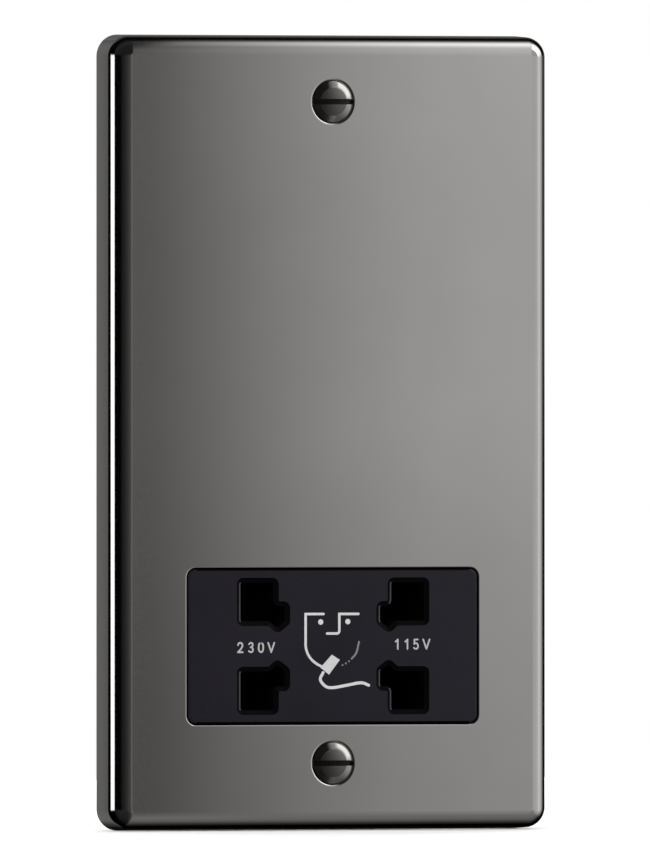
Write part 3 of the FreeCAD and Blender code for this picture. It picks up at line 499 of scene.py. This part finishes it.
def threaded_shank():
    """The shank with a rolled thread and a narrower tip, as one closed helical form."""
    shell = Shell()
    start = head_profile()[-1][1] + NECK_LAP
    length = start + SHANK_END
    rows = int(length / (THREAD_PITCH / THREAD_ROWS))
    loops = []
    for row in range(rows + 1):
        depth = start - length * row / rows
        taper = min(1.0, (depth + SHANK_END) / TIP_LENGTH)
        ring = []
        for i, (x, z) in enumerate(circle_ring(1.0, 0.0, SHANK_STEPS)):
            phase = (depth / THREAD_PITCH + i / SHANK_STEPS) % 1.0
            crest = 1.0 - abs(2 * phase - 1.0)
            radius = SHANK_RADIUS - THREAD_DEPTH * (1 - crest) - TIP_INSET * (1 - taper)
            ring.append((radius * x, radius * z))
        loops.append(shell.loop(ring, depth))
    shell.rod(loops)
    return shell.piece("shank", SHARP_WOUND)


def applied(obj):
    """The mesh of an object with its modifiers applied."""
    bpy.context.view_layer.update()
    graph = bpy.context.evaluated_depsgraph_get()
    return bpy.data.meshes.new_from_object(obj.evaluated_get(graph))


def build_screw(name, z):
    """A slotted screw: turned head with its slot cut and edges eased, and a threaded shank."""
    head = lathe(name + "_blank", head_profile(), HEAD_STEPS)
    cutter = Shell()
    half_x = HEAD_RADIUS + SLOT_PAST
    half_z = SLOT_WIDTH / 2
    cutter.box((-half_x, -HEAD_TOP - SLOT_PAST, -half_z), (half_x, SLOT_DEPTH - HEAD_TOP, half_z))
    tool = cutter.piece(name + "_slot")
    cut = head.modifiers.new("slot", "BOOLEAN")
    cut.object = tool
    cut.solver = "EXACT"
    ease = head.modifiers.new("ease", "BEVEL")
    ease.width = HEAD_EASE * MM
    ease.segments = 2
    ease.limit_method = "ANGLE"
    ease.angle_limit = HEAD_EASE_ANGLE
    mesh = applied(head)
    shank = threaded_shank()
    whole = bmesh.new()
    whole.from_mesh(mesh)
    whole.from_mesh(shank.data)
    bmesh.ops.translate(whole, verts=whole.verts, vec=(0, 0, z * MM))
    for spent in (head, tool, shank):
        bpy.data.objects.remove(spent)
    return dressed(name, mesh_of(name, whole))


def paint_screw_slot_and_crown(screw, z):
    """Painted shade in a screw's slot, dark and rough, and a painted dark reflection on its crown's rougher
    middle.
    """
    screw.data.materials.append(SLOT_PAINTED_SHADE)
    screw.data.materials.append(CROWN_ROUGH_PAINTED_DARK)
    for polygon in screw.data.polygons:
        spot = polygon.center / MM
        in_slot = abs(spot.z - z) < SLOT_WIDTH / 2 + SLOT_WALL_SLACK
        if in_slot and -spot.y > HEAD_TOP - SLOT_DEPTH - SLOT_FLOOR_SLACK:
            polygon.material_index = 1
        elif -spot.y > PLATE_DEPTH and math.hypot(spot.x, spot.z - z) < CROWN_RADIUS:
            polygon.material_index = 2


def aperture_ring(side, end, widening):
    """The outline of one aperture, widened evenly, with its corners rounded."""
    points = [Vector((x, z)) for x, z, _ in APERTURE]
    count = len(points)
    normals = []
    for i in range(count):
        run = (points[(i + 1) % count] - points[i]).normalized()
        normals.append(Vector((-run.y, run.x)))
    if sum(points[i].cross(points[(i + 1) % count]) for i in range(count)) > 0:
        normals = [-n for n in normals]
    ring = []
    for i in range(count):
        before, after = normals[i - 1], normals[i]
        turn = before.angle_signed(after)
        corner = points[i] + (before + after) * widening / (1 + before.dot(after))
        outward = (before + after).normalized()
        run_in = (points[i] - points[i - 1]).normalized()
        convex = run_in.dot(after) > 0
        radius = APERTURE[i][2] + (widening if convex else -widening)
        reach = radius / math.cos(turn / 2)
        centre = corner - outward * reach if convex else corner + outward * reach
        first = before if convex else -before
        last = after if convex else -after
        for k in range(FILLET_STEPS + 1):
            part = k / FILLET_STEPS
            spoke = first.slerp(last, part) if first.angle(last) > LEAST_TURN else first
            ring.append(centre + spoke * radius)
    return [(side * p.x, SOCKET_Z + end * p.y) for p in ring]


def build_socket_face():
    """The black moulding: apertures with their tunnels, flange behind the plate, skirt and stop pads."""
    shell = Shell()
    half_x = SOCKET_WIDTH / 2
    half_z = SOCKET_HEIGHT / 2
    profile = eased(SOCKET_EDGE, SOCKET_FRONT)
    profile += [(0.0, SOCKET_LINER), (-SOCKET_LAP, SOCKET_LINER), (-SOCKET_LAP, SOCKET_FLANGE)]
    sides = [shell.loop(rounded_ring(half_x - s, half_z - s, SOCKET_CORNER - s, SOCKET_Z), d)
             for s, d in profile]
    shell.stack(sides)
    rings = [(RIM[0][0] + RIM_SUPPORT, SOCKET_FRONT)] + [(w, SOCKET_FRONT - drop) for w, drop in RIM]
    rings += [(0.0, TUNNEL_END), (TUNNEL_WALL, TUNNEL_END), (TUNNEL_WALL, SOCKET_FLANGE)]
    fronts = []
    backs = []
    for side in (-1, 1):
        for end in (-1, 1):
            tunnel = [shell.loop(aperture_ring(side, end, w), d) for w, d in rings]
            shell.stack(tunnel)
            fronts.append(tunnel[0])
            backs.append(tunnel[-1])
    shell.fill(sides[0], *fronts)
    shell.fill(sides[-1], *backs)
    outer_x = CHAMBER_HALF_X + SKIRT_WALL
    outer_z = CHAMBER_HALF_Z + SKIRT_WALL
    pad_x = CHAMBER_HALF_X - STOP_PAD

    def wall(x, z):
        """A wall or pad of the chamber between two places along x and two along z, in either order."""
        low_x, high_x = sorted(x)
        low_z, high_z = sorted(z)
        shell.box((low_x, -SOCKET_FLANGE, SOCKET_Z + low_z), (high_x, -CHAMBER_BACK, SOCKET_Z + high_z))

    for side in (-1, 1):
        wall((side * CHAMBER_HALF_X, side * outer_x), (-outer_z, outer_z))
        wall((-CHAMBER_HALF_X, CHAMBER_HALF_X), (side * CHAMBER_HALF_Z, side * outer_z))
        for end in (-1, 1):
            wall((side * pad_x, side * CHAMBER_HALF_X), (end * STOP_NEAR, end * STOP_FAR))
    return shell.piece("face")


def paint_face_shade_and_highlight(face):
    """Painted shade on the face's rims, tunnels and back, and a painted highlight on rim slopes facing
    right.
    """
    face.data.materials.append(FACE_PAINTED_SHADE)
    face.data.materials.append(FACE_SLOPE_PAINTED_HIGHLIGHT)
    for polygon in face.data.polygons:
        spot = polygon.center / MM
        drop = SOCKET_FRONT + spot.y
        in_rim = abs(spot.x) < RIM_REACH and polygon.normal.y > -FLAT_FACING
        if in_rim and polygon.normal.x > SLOPE_TURN and SLOPE_TOP < drop < SLOPE_END:
            polygon.material_index = 2
        elif in_rim or -spot.y < SOCKET_LINER:
            polygon.material_index = 1


def round_end(tip, before, half):
    """Points round the end of a line, from its left to its right."""
    run = (tip - before).normalized()
    return [tip + Matrix.Rotation(a, 2) @ run * half for a in arc(CAP_ANGLE, -CAP_ANGLE, CAP_STEPS)]


def stroke_mesh(bm, points, width, layer=0):
    """Adds a flat raised line of even width with round ends to a mesh, through (x, z) points."""
    path = [Vector(p) for p in points]
    half = width / 2
    left, right = [], []
    count = len(path)
    for i, p in enumerate(path):
        come = (p - path[i - 1]).normalized() if i else (path[1] - p).normalized()
        go = (path[i + 1] - p).normalized() if i < count - 1 else come
        run = (come + go).normalized()
        across = Vector((-run.y, run.x)) * half / max(MITRE_LEAST, run.dot(come))
        left.append(p + across)
        right.append(p - across)
    cap_end = round_end(path[-1], path[-2], half)
    cap_start = round_end(path[0], path[1], half)
    outline = left + cap_end + right[::-1] + cap_start
    back = 2 * count + len(cap_end) - 1
    patches = [(i, back - i, back - i - 1, i + 1) for i in range(count - 1)]
    patches.append(tuple(range(count - 1, count + len(cap_end) + 1)))
    patches.append(tuple(range(back, len(outline))) + (0,))
    raise_outline(bm, outline, layer, patches)


def raise_outline(bm, outline, layer=0, patches=None):
    """Adds a flat form, in convex patches, a little proud of the socket face, each layer above the last."""
    front = -(SOCKET_FRONT + MARK_PROUD + MARK_LIFT * layer) * MM
    back = -(SOCKET_FRONT - MARK_SINK) * MM
    tops = [bm.verts.new((p[0] * MM, front, (SOCKET_Z + p[1]) * MM)) for p in outline]
    feet = [bm.verts.new((p[0] * MM, back, (SOCKET_Z + p[1]) * MM)) for p in outline]
    for patch in patches or [tuple(range(len(outline)))]:
        bm.faces.new([tops[i] for i in patch])
        bm.faces.new([feet[i] for i in patch[::-1]])
    for i in range(len(outline)):
        j = (i + 1) % len(outline)
        bm.faces.new((tops[i], feet[i], feet[j], tops[j]))


def disc(bm, centre, radius):
    """Adds a raised dot to a mesh."""
    raise_outline(bm, [(centre[0] + x, z) for x, z in circle_ring(radius, centre[1], DISC_STEPS)])


def bezier(points, steps):
    """Points along one cubic curve."""
    a, b, c, d = [Vector(p) for p in points]
    made = []
    for i in range(steps + 1):
        t = i / steps
        made.append(a * (1 - t) ** 3 + 3 * b * t * (1 - t) ** 2 + 3 * c * t * t * (1 - t) + d * t ** 3)
    return made


def smooth_path(points, steps=PATH_STEPS):
    """A smooth line through the points."""
    path = [Vector(p) for p in points]
    path = [2 * path[0] - path[1]] + path + [2 * path[-1] - path[-2]]
    made = []
    for i in range(1, len(path) - 2):
        near = path[i] + (path[i + 1] - path[i - 1]) / 6
        far = path[i + 1] - (path[i + 2] - path[i]) / 6
        made += bezier((path[i], near, far, path[i + 1]), steps)[:-1]
    return made + [path[-2]]


def finish_mark(name, bm):
    """Turns a drawn mark into an object."""
    bmesh.ops.triangulate(bm, faces=[f for f in bm.faces if len(f.verts) > 4])
    bmesh.ops.recalc_face_normals(bm, faces=bm.faces)
    return dressed(name, mesh_of(name, bm))


def build_sign():
    """The plain shaver sign: two brows, a jaw, a nose, two eyes and a shaver on its lead."""
    bm = bmesh.new()
    stroke_mesh(bm, SIGN_LEFT_BROW + bezier(SIGN_JAW, JAW_STEPS)[1:], STROKE)
    stroke_mesh(bm, SIGN_RIGHT_BROW + bezier(SIGN_NOSE, NOSE_STEPS)[1:] + [SIGN_NOSE_TIP], STROKE)
    for eye in SIGN_EYES:
        disc(bm, eye, SIGN_EYE_RADIUS)
    raise_outline(bm, SIGN_SHAVER, SIGN_SHAVER_LAYER)
    stroke_mesh(bm, smooth_path(SIGN_LEAD), LEAD_STROKE, SIGN_LEAD_LAYER)
    return finish_mark("sign", bm)


def build_cheek():
    """The sign's shaved cheek: a dim line that breaks into dots."""
    bm = bmesh.new()
    stroke_mesh(bm, smooth_path(SIGN_CHEEK), CHEEK_STROKE)
    for dot in SIGN_DOTS:
        disc(bm, dot, CHEEK_STROKE / 2)
    return finish_mark("sign_cheek", bm)


def build_volts(name, numerals, centre_z):
    """A voltage mark, drawn in even lines between each numeral's own left and right limits."""
    bm = bmesh.new()
    tall = NUMERAL_HEIGHT - NUMERAL_STROKE
    layer = 0
    for numeral, low_x, high_x in numerals:
        wide = high_x - low_x - NUMERAL_STROKE
        for line in NUMERALS[numeral]:
            points = [(low_x + NUMERAL_STROKE / 2 + x * wide, centre_z + (z - 0.5) * tall) for x, z in line]
            stroke_mesh(bm, smooth_path(points, NUMERAL_STEPS), NUMERAL_STROKE, layer % NUMERAL_LAYERS)
            layer += 1
    return finish_mark(name, bm)


def build_spring(name, side):
    """A wound spring from the shutter's pocket to the end of its chamber."""
    shell = Shell()
    steps = SPRING_TURNS * SPRING_STEPS
    along = Vector((1, 0, 0))
    loops = []
    for i in range(steps + 1):
        part = i / steps
        turn = 2 * math.pi * SPRING_TURNS * part
        spoke = Vector((0, math.cos(turn), math.sin(turn)))
        middle = Vector((SPRING_NEAR + (SPRING_FAR - SPRING_NEAR) * part, SPRING_DEPTH, 0))
        centre = middle + spoke * SPRING_RADIUS
        ring = []
        for k in range(SPRING_SIDES):
            a = 2 * math.pi * k / SPRING_SIDES
            p = centre + spoke * SPRING_WIRE * math.cos(a) + along * SPRING_WIRE * math.sin(a)
            ring.append(shell.bm.verts.new((side * p.x * MM, p.y * MM, (SOCKET_Z + p.z) * MM)))
        loops.append(ring)
    shell.rod(loops)
    return shell.piece(name, SHARP_WOUND)


def grey(value):
    return (value, value, value)


class Graph:
    """The nodes of a shader tree, linked as they are added."""

    def __init__(self, tree):
        self.nodes = tree.nodes
        self.links = tree.links

    def add(self, kind):
        return self.nodes.new("ShaderNode" + kind)

    def feed(self, socket, value):
        """Links another node's output to a socket, or sets the socket to a number, colour or vector."""
        if isinstance(value, bpy.types.NodeSocket):
            self.links.new(value, socket)
        else:
            socket.default_value = (*value, 1.0) if socket.type == "RGBA" else value

    def ramp(self, factor, stops):
        """Colours by (position, colour) pairs."""
        ramp = self.add("ValToRGB")
        elements = ramp.color_ramp.elements
        while len(elements) < len(stops):
            elements.new(0.5)
        for element, (position, colour) in zip(elements, stops):
            element.position = position
            element.color = (*colour, 1.0)
        self.feed(ramp.inputs["Fac"], factor)
        return ramp.outputs["Color"]

    def level(self, factor, stops):
        """Grey levels by (position, level) pairs."""
        return self.ramp(factor, [(position, grey(value)) for position, value in stops])

    def calc(self, operation, *terms):
        node = self.add("Math")
        node.operation = operation
        for socket, term in zip(node.inputs, terms):
            self.feed(socket, term)
        return node.outputs["Value"]

    def times(self, first, second):
        return self.calc("MULTIPLY", first, second)

    def dot(self, vector, fixed):
        node = self.add("VectorMath")
        node.operation = "DOT_PRODUCT"
        self.feed(node.inputs[0], vector)
        self.feed(node.inputs[1], fixed)
        return node.outputs["Value"]

    def mix(self, factor, first, second):
        """first where factor is 0, second where it is 1."""
        node = self.add("Mix")
        node.data_type = "RGBA"
        for name, value in (("Factor", factor), ("A", first), ("B", second)):
            self.feed(node.inputs[name], value)
        return node.outputs["Result"]

    def split(self, vector):
        """The x, y and z of a vector."""
        node = self.add("SeparateXYZ")
        self.feed(node.inputs["Vector"], vector)
        return [node.outputs[axis] for axis in "XYZ"]

    def turn_share(self, first, second):
        """The angle of two coordinates as a share of a full turn, half for straight ahead."""
        return self.calc("MULTIPLY_ADD", self.calc("ARCTAN2", first, second), 0.5 / math.pi, 0.5)


class Paint(Graph):
    """A node material: a principled surface with mottled colour, roughness and fine relief."""

    def __init__(self, name, metallic=0.0, specular=0.5):
        self.material = bpy.data.materials.new(name)
        self.material.use_nodes = True
        super().__init__(self.material.node_tree)
        self.surface = self.nodes["Principled BSDF"].inputs
        self.feed(self.surface["Metallic"], metallic)
        self.feed(self.surface["Specular IOR Level"], specular)

    def noise(self, scale, detail=4.0, stretch=(1, 1, 1)):
        spread = self.add("Mapping")
        self.feed(spread.inputs["Scale"], stretch)
        self.feed(spread.inputs["Vector"], self.add("TexCoord").outputs["Object"])
        noise = self.add("TexNoise")
        self.feed(noise.inputs["Scale"], scale)
        self.feed(noise.inputs["Detail"], detail)
        self.feed(noise.inputs["Vector"], spread.outputs["Vector"])
        return noise.outputs["Fac"]

    def colour(self, factor, dark, light):
        self.feed(self.surface["Base Color"], self.ramp(factor, [(NOISE_LOW, dark), (NOISE_HIGH, light)]))

    def roughness(self, factor, low, high):
        spread = self.add("MapRange")
        for name, value in (("Value", factor), ("From Min", NOISE_LOW), ("From Max", NOISE_HIGH),
                            ("To Min", low), ("To Max", high)):
            self.feed(spread.inputs[name], value)
        self.feed(self.surface["Roughness"], spread.outputs["Result"])

    def relief(self, factor, strength, depth=RELIEF_DEPTH):
        bump = self.add("Bump")
        for name, value in (("Height", factor), ("Strength", strength), ("Distance", depth * MM)):
            self.feed(bump.inputs[name], value)
        self.feed(self.surface["Normal"], bump.outputs["Normal"])


def metal(name, dark, light, rough, grain=900.0, relief=0.0, metallic=1.0):
    paint = Paint(name, metallic=metallic)
    paint.colour(paint.noise(METAL_MOTTLE), dark, light)
    fine = paint.noise(grain)
    paint.roughness(fine, *rough)
    if relief:
        paint.relief(fine, relief)
    return paint.material


def plastic(name, dark, light, rough, grain=1500.0, relief=0.12, specular=0.5):
    paint = Paint(name, specular=specular)
    paint.colour(paint.noise(PLASTIC_MOTTLE), dark, light)
    paint.roughness(paint.noise(PLASTIC_SHEEN), *rough)
    paint.relief(paint.noise(grain, detail=2.0), relief)
    return paint.material


def lined(name, dark, light, rough, grain, stretch, relief, depth, metallic):
    """Fine lines across a stack of sheets or a coil, stretched along the other two ways."""
    paint = Paint(name, metallic=metallic)
    lines = paint.noise(grain, detail=1.0, stretch=stretch)
    paint.colour(lines, dark, light)
    paint.roughness(paint.noise(LINED_SHEEN), *rough)
    paint.relief(lines, relief, depth)
    return paint.material


# Materials by slot, and those only some faces or marks have: painted shade, reflection and highlight, and
# print
MATERIALS = {
    "black_nickel": metal("black_nickel", (0.352, 0.342, 0.336), (0.368, 0.358, 0.35), (0.07, 0.1), 1400.0),
    "face_plastic": plastic("face_plastic", (0.0086, 0.0078, 0.0116), (0.0104, 0.0094, 0.0136), (0.27, 0.33),
                            1800.0, 0.03, 0.12),
    # Shutter and carrier behind the apertures are painted near black, darker than their own colour, as
    # painted shade
    "shutter_plastic": plastic("shutter_plastic", grey(0.0003), grey(0.0005), (0.7, 0.8), specular=0.01),
    "carrier_plastic": plastic("carrier_plastic", grey(0.002), grey(0.003), (0.55, 0.7), specular=0.05),
    "housing_plastic": plastic("housing_plastic", (0.53, 0.53, 0.51), (0.56, 0.56, 0.54), (0.4, 0.52),
                               1300.0, 0.25),
    "bobbin_nylon": plastic("bobbin_nylon", (0.62, 0.58, 0.46), (0.7, 0.66, 0.54), (0.35, 0.5)),
    "winding_tape": plastic("winding_tape", (0.6, 0.36, 0.03), (0.72, 0.46, 0.06), (0.2, 0.32)),
    "cutout_case": plastic("cutout_case", grey(0.03), grey(0.05), (0.35, 0.5)),
    "spring_steel": metal("spring_steel", grey(0.4), grey(0.52), (0.2, 0.32)),
    "zinc_steel": metal("zinc_steel", (0.55, 0.56, 0.57), (0.68, 0.69, 0.7), (0.26, 0.38),
                        relief=0.15, metallic=0.6),
    "contact_bronze": metal("contact_bronze", (0.55, 0.32, 0.15), (0.68, 0.43, 0.22), (0.2, 0.34),
                            relief=0.1, metallic=0.75),
    "terminal_brass": metal("terminal_brass", (0.6, 0.43, 0.16), (0.74, 0.55, 0.24), (0.2, 0.32),
                            relief=0.1, metallic=0.75),
    "strap_copper": metal("strap_copper", (0.58, 0.56, 0.52), (0.72, 0.7, 0.66), (0.24, 0.38), relief=0.15),
    "core_steel": lined("core_steel", (0.05, 0.046, 0.042), (0.2, 0.19, 0.18), (0.3, 0.5), grain=2200.0,
                        stretch=(0.02, 1, 0.02), relief=0.5, depth=0.05, metallic=0.6),
    "copper_wire": lined("copper_wire", (0.32, 0.11, 0.04), (0.72, 0.33, 0.15), (0.22, 0.38), grain=1500.0,
                         stretch=(0.03, 0.03, 1), relief=0.6, depth=0.06, metallic=0.9),
    "lead_brown": plastic("lead_brown", (0.07, 0.028, 0.012), (0.09, 0.036, 0.016), (0.3, 0.42)),
    "lead_blue": plastic("lead_blue", (0.01, 0.05, 0.24), (0.014, 0.065, 0.3), (0.3, 0.42)),
    "lead_red": plastic("lead_red", (0.3, 0.012, 0.01), (0.38, 0.016, 0.012), (0.3, 0.42)),
    "lead_yellow": plastic("lead_yellow", (0.52, 0.36, 0.02), (0.62, 0.44, 0.03), (0.3, 0.42)),
    "lead_black": plastic("lead_black", grey(0.006), grey(0.01), (0.3, 0.42)),
}
SCREW_NICKEL = metal("screw_nickel", (0.19, 0.184, 0.178), (0.205, 0.198, 0.191), (0.11, 0.15), 1400.0)
# Painted shade: a dark, rough metal on the walls and floor of the screws' slots
SLOT_PAINTED_SHADE = metal("slot_painted_shade", grey(0.02), grey(0.028), (0.45, 0.6))
# Painted dark reflection: the rougher middle of each screw's crown, darker than the rest of the head
CROWN_ROUGH_PAINTED_DARK = metal("crown_rough_painted_dark", (0.104, 0.1, 0.096), (0.116, 0.112, 0.108), (0.46, 0.54), 1400.0)
# Painted shade: near-black plastic on the socket face's rims, tunnels and back
FACE_PAINTED_SHADE = plastic("face_painted_shade", grey(0.0008), grey(0.0014), (0.6, 0.75), specular=0.04)
# Painted highlight: a paler black on the rims' slopes that face right, where they catch light
FACE_SLOPE_PAINTED_HIGHLIGHT = plastic("face_slope_painted_highlight", grey(0.03), grey(0.038), (0.35, 0.45), specular=0.1)
MARK_WHITE = plastic("mark_white", grey(0.42), grey(0.48), (0.45, 0.6))
MARK_GREY = plastic("mark_grey", grey(0.29), grey(0.34), (0.45, 0.6))
MARK_DIM = plastic("mark_dim", grey(0.12), grey(0.16), (0.45, 0.6))


def paint_cad_nodes():
    """Gives every CAD node the material of its slot."""
    for part in frame["record"]["subparts"]:
        node = frame["nodes"][part["node"]]
        node.data.materials.clear()
        node.data.materials.append(MATERIALS[part["material_slot"]])


def build_pieces():
    """Builds the pieces that stand in for CAD nodes, and the marks on the face."""
    settle(build_plate(), UNIT, "black_nickel", MATERIALS["black_nickel"], "front_plate")
    for name, side in (("screw_top", 1), ("screw_bottom", -1)):
        screw = build_screw(name, side * FIXING_Z)
        paint_screw_slot_and_crown(settle(screw, UNIT, "black_nickel", SCREW_NICKEL, "fixing_screws"), side * FIXING_Z)
    paint_face_shade_and_highlight(settle(build_socket_face(), UNIT, "face_plastic", MATERIALS["face_plastic"], "socket_face"))
    settle(build_sign(), UNIT, "face_plastic", MARK_WHITE)
    settle(build_cheek(), UNIT, "face_plastic", MARK_DIM)
    settle(build_volts("mark_230", MARK_230, MARK_230_Z), UNIT, "face_plastic", MARK_GREY)
    settle(build_volts("mark_115", MARK_115, MARK_115_Z), UNIT, "face_plastic", MARK_GREY)
    for name, side in (("spring_left", -1), ("spring_right", 1)):
        spring = build_spring(name, side)
        spring.data.materials.append(MATERIALS["spring_steel"])
        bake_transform(spring)
        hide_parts("shutter_" + name)


def sheet_material():
    """Light from the sheet as a product of two gradients, clear where it fades out."""
    material = bpy.data.materials.new("sheet")
    material.use_nodes = True
    graph = Graph(material.node_tree)
    graph.nodes.clear()
    x, y, _ = graph.split(graph.add("TexCoord").outputs["UV"])

    def across(table):
        return graph.level(x, [((place + SHEET_HALF) / (2 * SHEET_HALF), value) for place, value in table])

    def up(table):
        span = SHEET_HIGH - SHEET_LOW
        return graph.level(y, [((angle - SHEET_LOW) / span, value) for angle, value in table])

    glow = graph.add("Emission")
    graph.feed(glow.inputs["Strength"], graph.times(across(SHEET_ACROSS), up(SHEET_UP)))
    blend = graph.add("MixShader")
    graph.feed(blend.inputs["Fac"], graph.times(across(SHEET_FADE_SIDE), up(SHEET_FADE_UP)))
    graph.feed(blend.inputs[1], graph.add("BsdfTransparent").outputs["BSDF"])
    graph.feed(blend.inputs[2], glow.outputs["Emission"])
    graph.feed(graph.add("OutputMaterial").inputs["Surface"], blend.outputs["Shader"])
    return material


def build_sheet():
    """A curved sheet before and above the plate, seen only in mirrors, along the mirrored line of sight."""
    lean = math.tan(math.radians(-CAMERA_AZIMUTH))
    bm = bmesh.new()
    layer = bm.loops.layers.uv.new("sheet")
    rows = []
    for angle in range(SHEET_LOW, SHEET_HIGH + 1, SHEET_STEP):
        turn = math.radians(angle)
        height = SHEET_RADIUS * math.sin(turn)
        depth = SHEET_RADIUS * math.cos(turn)
        source = max(-SHEET_REACH, min(SHEET_REACH, height))
        shift = lean * math.hypot(depth, height - source)
        share = (angle - SHEET_LOW) / (SHEET_HIGH - SHEET_LOW)
        pushed = (angle - SHEET_SKEW_START) / (SHEET_SKEW_END - SHEET_SKEW_START)
        skew = SHEET_SKEW * min(1.0, max(0.0, pushed))
        row = []
        for part in (0.0, 1.0):
            x = shift + SHEET_HALF * (2 * part - 1)
            vertex = bm.verts.new((x * MM, -(PLATE_DEPTH + depth) * MM, height * MM))
            row.append((vertex, (part * (1 + skew) - skew, share)))
        rows.append(row)
    for below, above in zip(rows, rows[1:]):
        corners = [below[0], below[1], above[1], above[0]]
        for loop, (_, place) in zip(bm.faces.new([v for v, _ in corners]).loops, corners):
            loop[layer].uv = place
    sheet = linked("sheet", mesh_of("sheet", bm))
    sheet.data.materials.append(sheet_material())
    sheet.visible_camera = False
    sheet.visible_diffuse = False
    sheet.visible_shadow = False
    sheet.visible_transmission = False


def as_shares(table, scale=1.0):
    """A table by degrees as shares of a full turn, with its values as shares of a scale."""
    return [((angle + 180) / 360, value / scale) for angle, value in table]


def mirrored_studio(graph, x, y, z):
    """The studio's level in a direction, as a share of the brightest."""
    front = graph.times(y, -1.0)
    yaw = graph.turn_share(graph.times(x, -1.0), front)
    pitch = graph.turn_share(z, front)
    upward = graph.calc("GREATER_THAN", z, 0.0)

    def below(table, above):
        """A table's value below the horizon, and another value above it."""
        return graph.mix(upward, graph.level(yaw, as_shares(table)), above)

    right = graph.calc("MULTIPLY_ADD", x, 0.5, 0.5)
    right = graph.level(right, [((part + 1) / 2, value) for part, value in ABOVE_RIGHT])
    over = graph.times(graph.level(pitch, as_shares(OVER, BRIGHTEST)), below(BELOW_SIDE, right))
    around = graph.times(graph.level(yaw, as_shares(AROUND, BRIGHTEST)), below(BELOW_BACK, grey(1.0)))
    height = graph.times(graph.calc("ABSOLUTE", z), below(BELOW_FIRM, grey(1.0)))
    before = graph.level(graph.calc("ADD", front, 1.0), [(part + 1, value) for part, value in BEFORE])
    return graph.mix(graph.times(graph.level(height, STEEP), before), around, over)


def mirrored_lamp(graph, direction, z):
    """The curved lamp's share in a direction."""
    turn = math.radians(-CAMERA_AZIMUTH)
    ahead = graph.dot(direction, (math.sin(turn), -math.cos(turn), 0))
    aside = graph.dot(direction, (math.cos(turn), math.sin(turn), 0))
    sector = graph.level(graph.turn_share(z, aside), as_shares(LAMP_SECTOR))
    return graph.times(graph.level(ahead, LAMP_RING), sector)


def build_world():
    """White to the camera, even for soft light, and a banded studio for mirrored rays."""
    world = bpy.data.worlds.new("studio")
    bpy.context.scene.world = world
    world.use_nodes = True
    graph = Graph(world.node_tree)
    graph.nodes.clear()
    direction = graph.add("TexCoord").outputs["Generated"]
    x, y, z = graph.split(direction)
    mirrored = graph.mix(mirrored_lamp(graph, direction, z), mirrored_studio(graph, x, y, z), grey(1.0))
    white = grey(1.0 / BRIGHTEST)
    rays = graph.add("LightPath").outputs
    lit = graph.mix(rays["Is Glossy Ray"], white, mirrored)
    seen = graph.calc("MAXIMUM", rays["Is Camera Ray"], rays["Is Transmission Ray"])
    sky = graph.add("Background")
    graph.feed(sky.inputs["Color"], graph.mix(seen, lit, white))
    graph.feed(sky.inputs["Strength"], BRIGHTEST)
    graph.feed(graph.add("OutputWorld").inputs["Surface"], sky.outputs["Background"])


def build_floor():
    """A pale floor just under the plate, which takes its shadow."""
    low = cad_low.z - FLOOR_GAP * MM
    half = FLOOR_HALF * MM
    mesh = bpy.data.meshes.new("floor")
    corners = [(a * half, b * half, low) for a, b in ((-1, -1), (1, -1), (1, 1), (-1, 1))]
    mesh.from_pydata(corners, [], [(0, 1, 2, 3)])
    paint = Paint("floor_pale")
    paint.feed(paint.surface["Base Color"], grey(FLOOR_GREY))
    paint.feed(paint.surface["Roughness"], FLOOR_ROUGHNESS)
    mesh.materials.append(paint.material)
    floor = linked("floor", mesh)
    floor.visible_glossy = False


def build_lamp(name, place, power):
    """A soft lamp that lights the part but isn't seen, in mirrors either."""
    lamp = bpy.data.lights.new(name, "AREA")
    lamp.shape = "SQUARE"
    lamp.size = LAMP_SIDE * MM
    lamp.energy = power
    obj = linked(name, lamp)
    obj.location = Vector(place) * MM
    obj.rotation_mode = "QUATERNION"
    obj.rotation_quaternion = (-Vector(place)).to_track_quat("-Z", "Y")
    obj.visible_glossy = False
    obj.visible_camera = False


def build_camera():
    """A long lens at the photograph's angle, framed as the photograph is."""
    data = bpy.data.cameras.new("camera")
    data.lens = CAMERA_LENS
    data.sensor_width = SENSOR
    data.clip_start = CAMERA_NEAR * MM
    data.clip_end = CAMERA_FAR * MM
    turn = math.radians(CAMERA_AZIMUTH)
    rise = math.radians(CAMERA_ELEVATION)
    back = Vector((math.sin(turn) * math.cos(rise), -math.cos(turn) * math.cos(rise), math.sin(rise)))
    right = Vector((math.cos(turn), math.sin(turn), 0))
    up = back.cross(right)
    distance = IMAGE_HEIGHT / PIXELS_PER_MM * CAMERA_LENS / SENSOR * MM
    camera = linked("camera", data)
    camera.location = (right * AIM_RIGHT + up * AIM_UP) * MM + back * distance
    camera.rotation_mode = "QUATERNION"
    camera.rotation_quaternion = (-back).to_track_quat("-Z", "Y")
    bpy.context.scene.camera = camera


paint_cad_nodes()
build_pieces()
build_sheet()
build_world()
build_floor()
for lamp_name, lamp_place, lamp_power in LAMPS:
    build_lamp(lamp_name, lamp_place, lamp_power)
build_camera()
bpy.context.scene.view_settings.view_transform = "Standard"

bpy.context.view_layer.update()
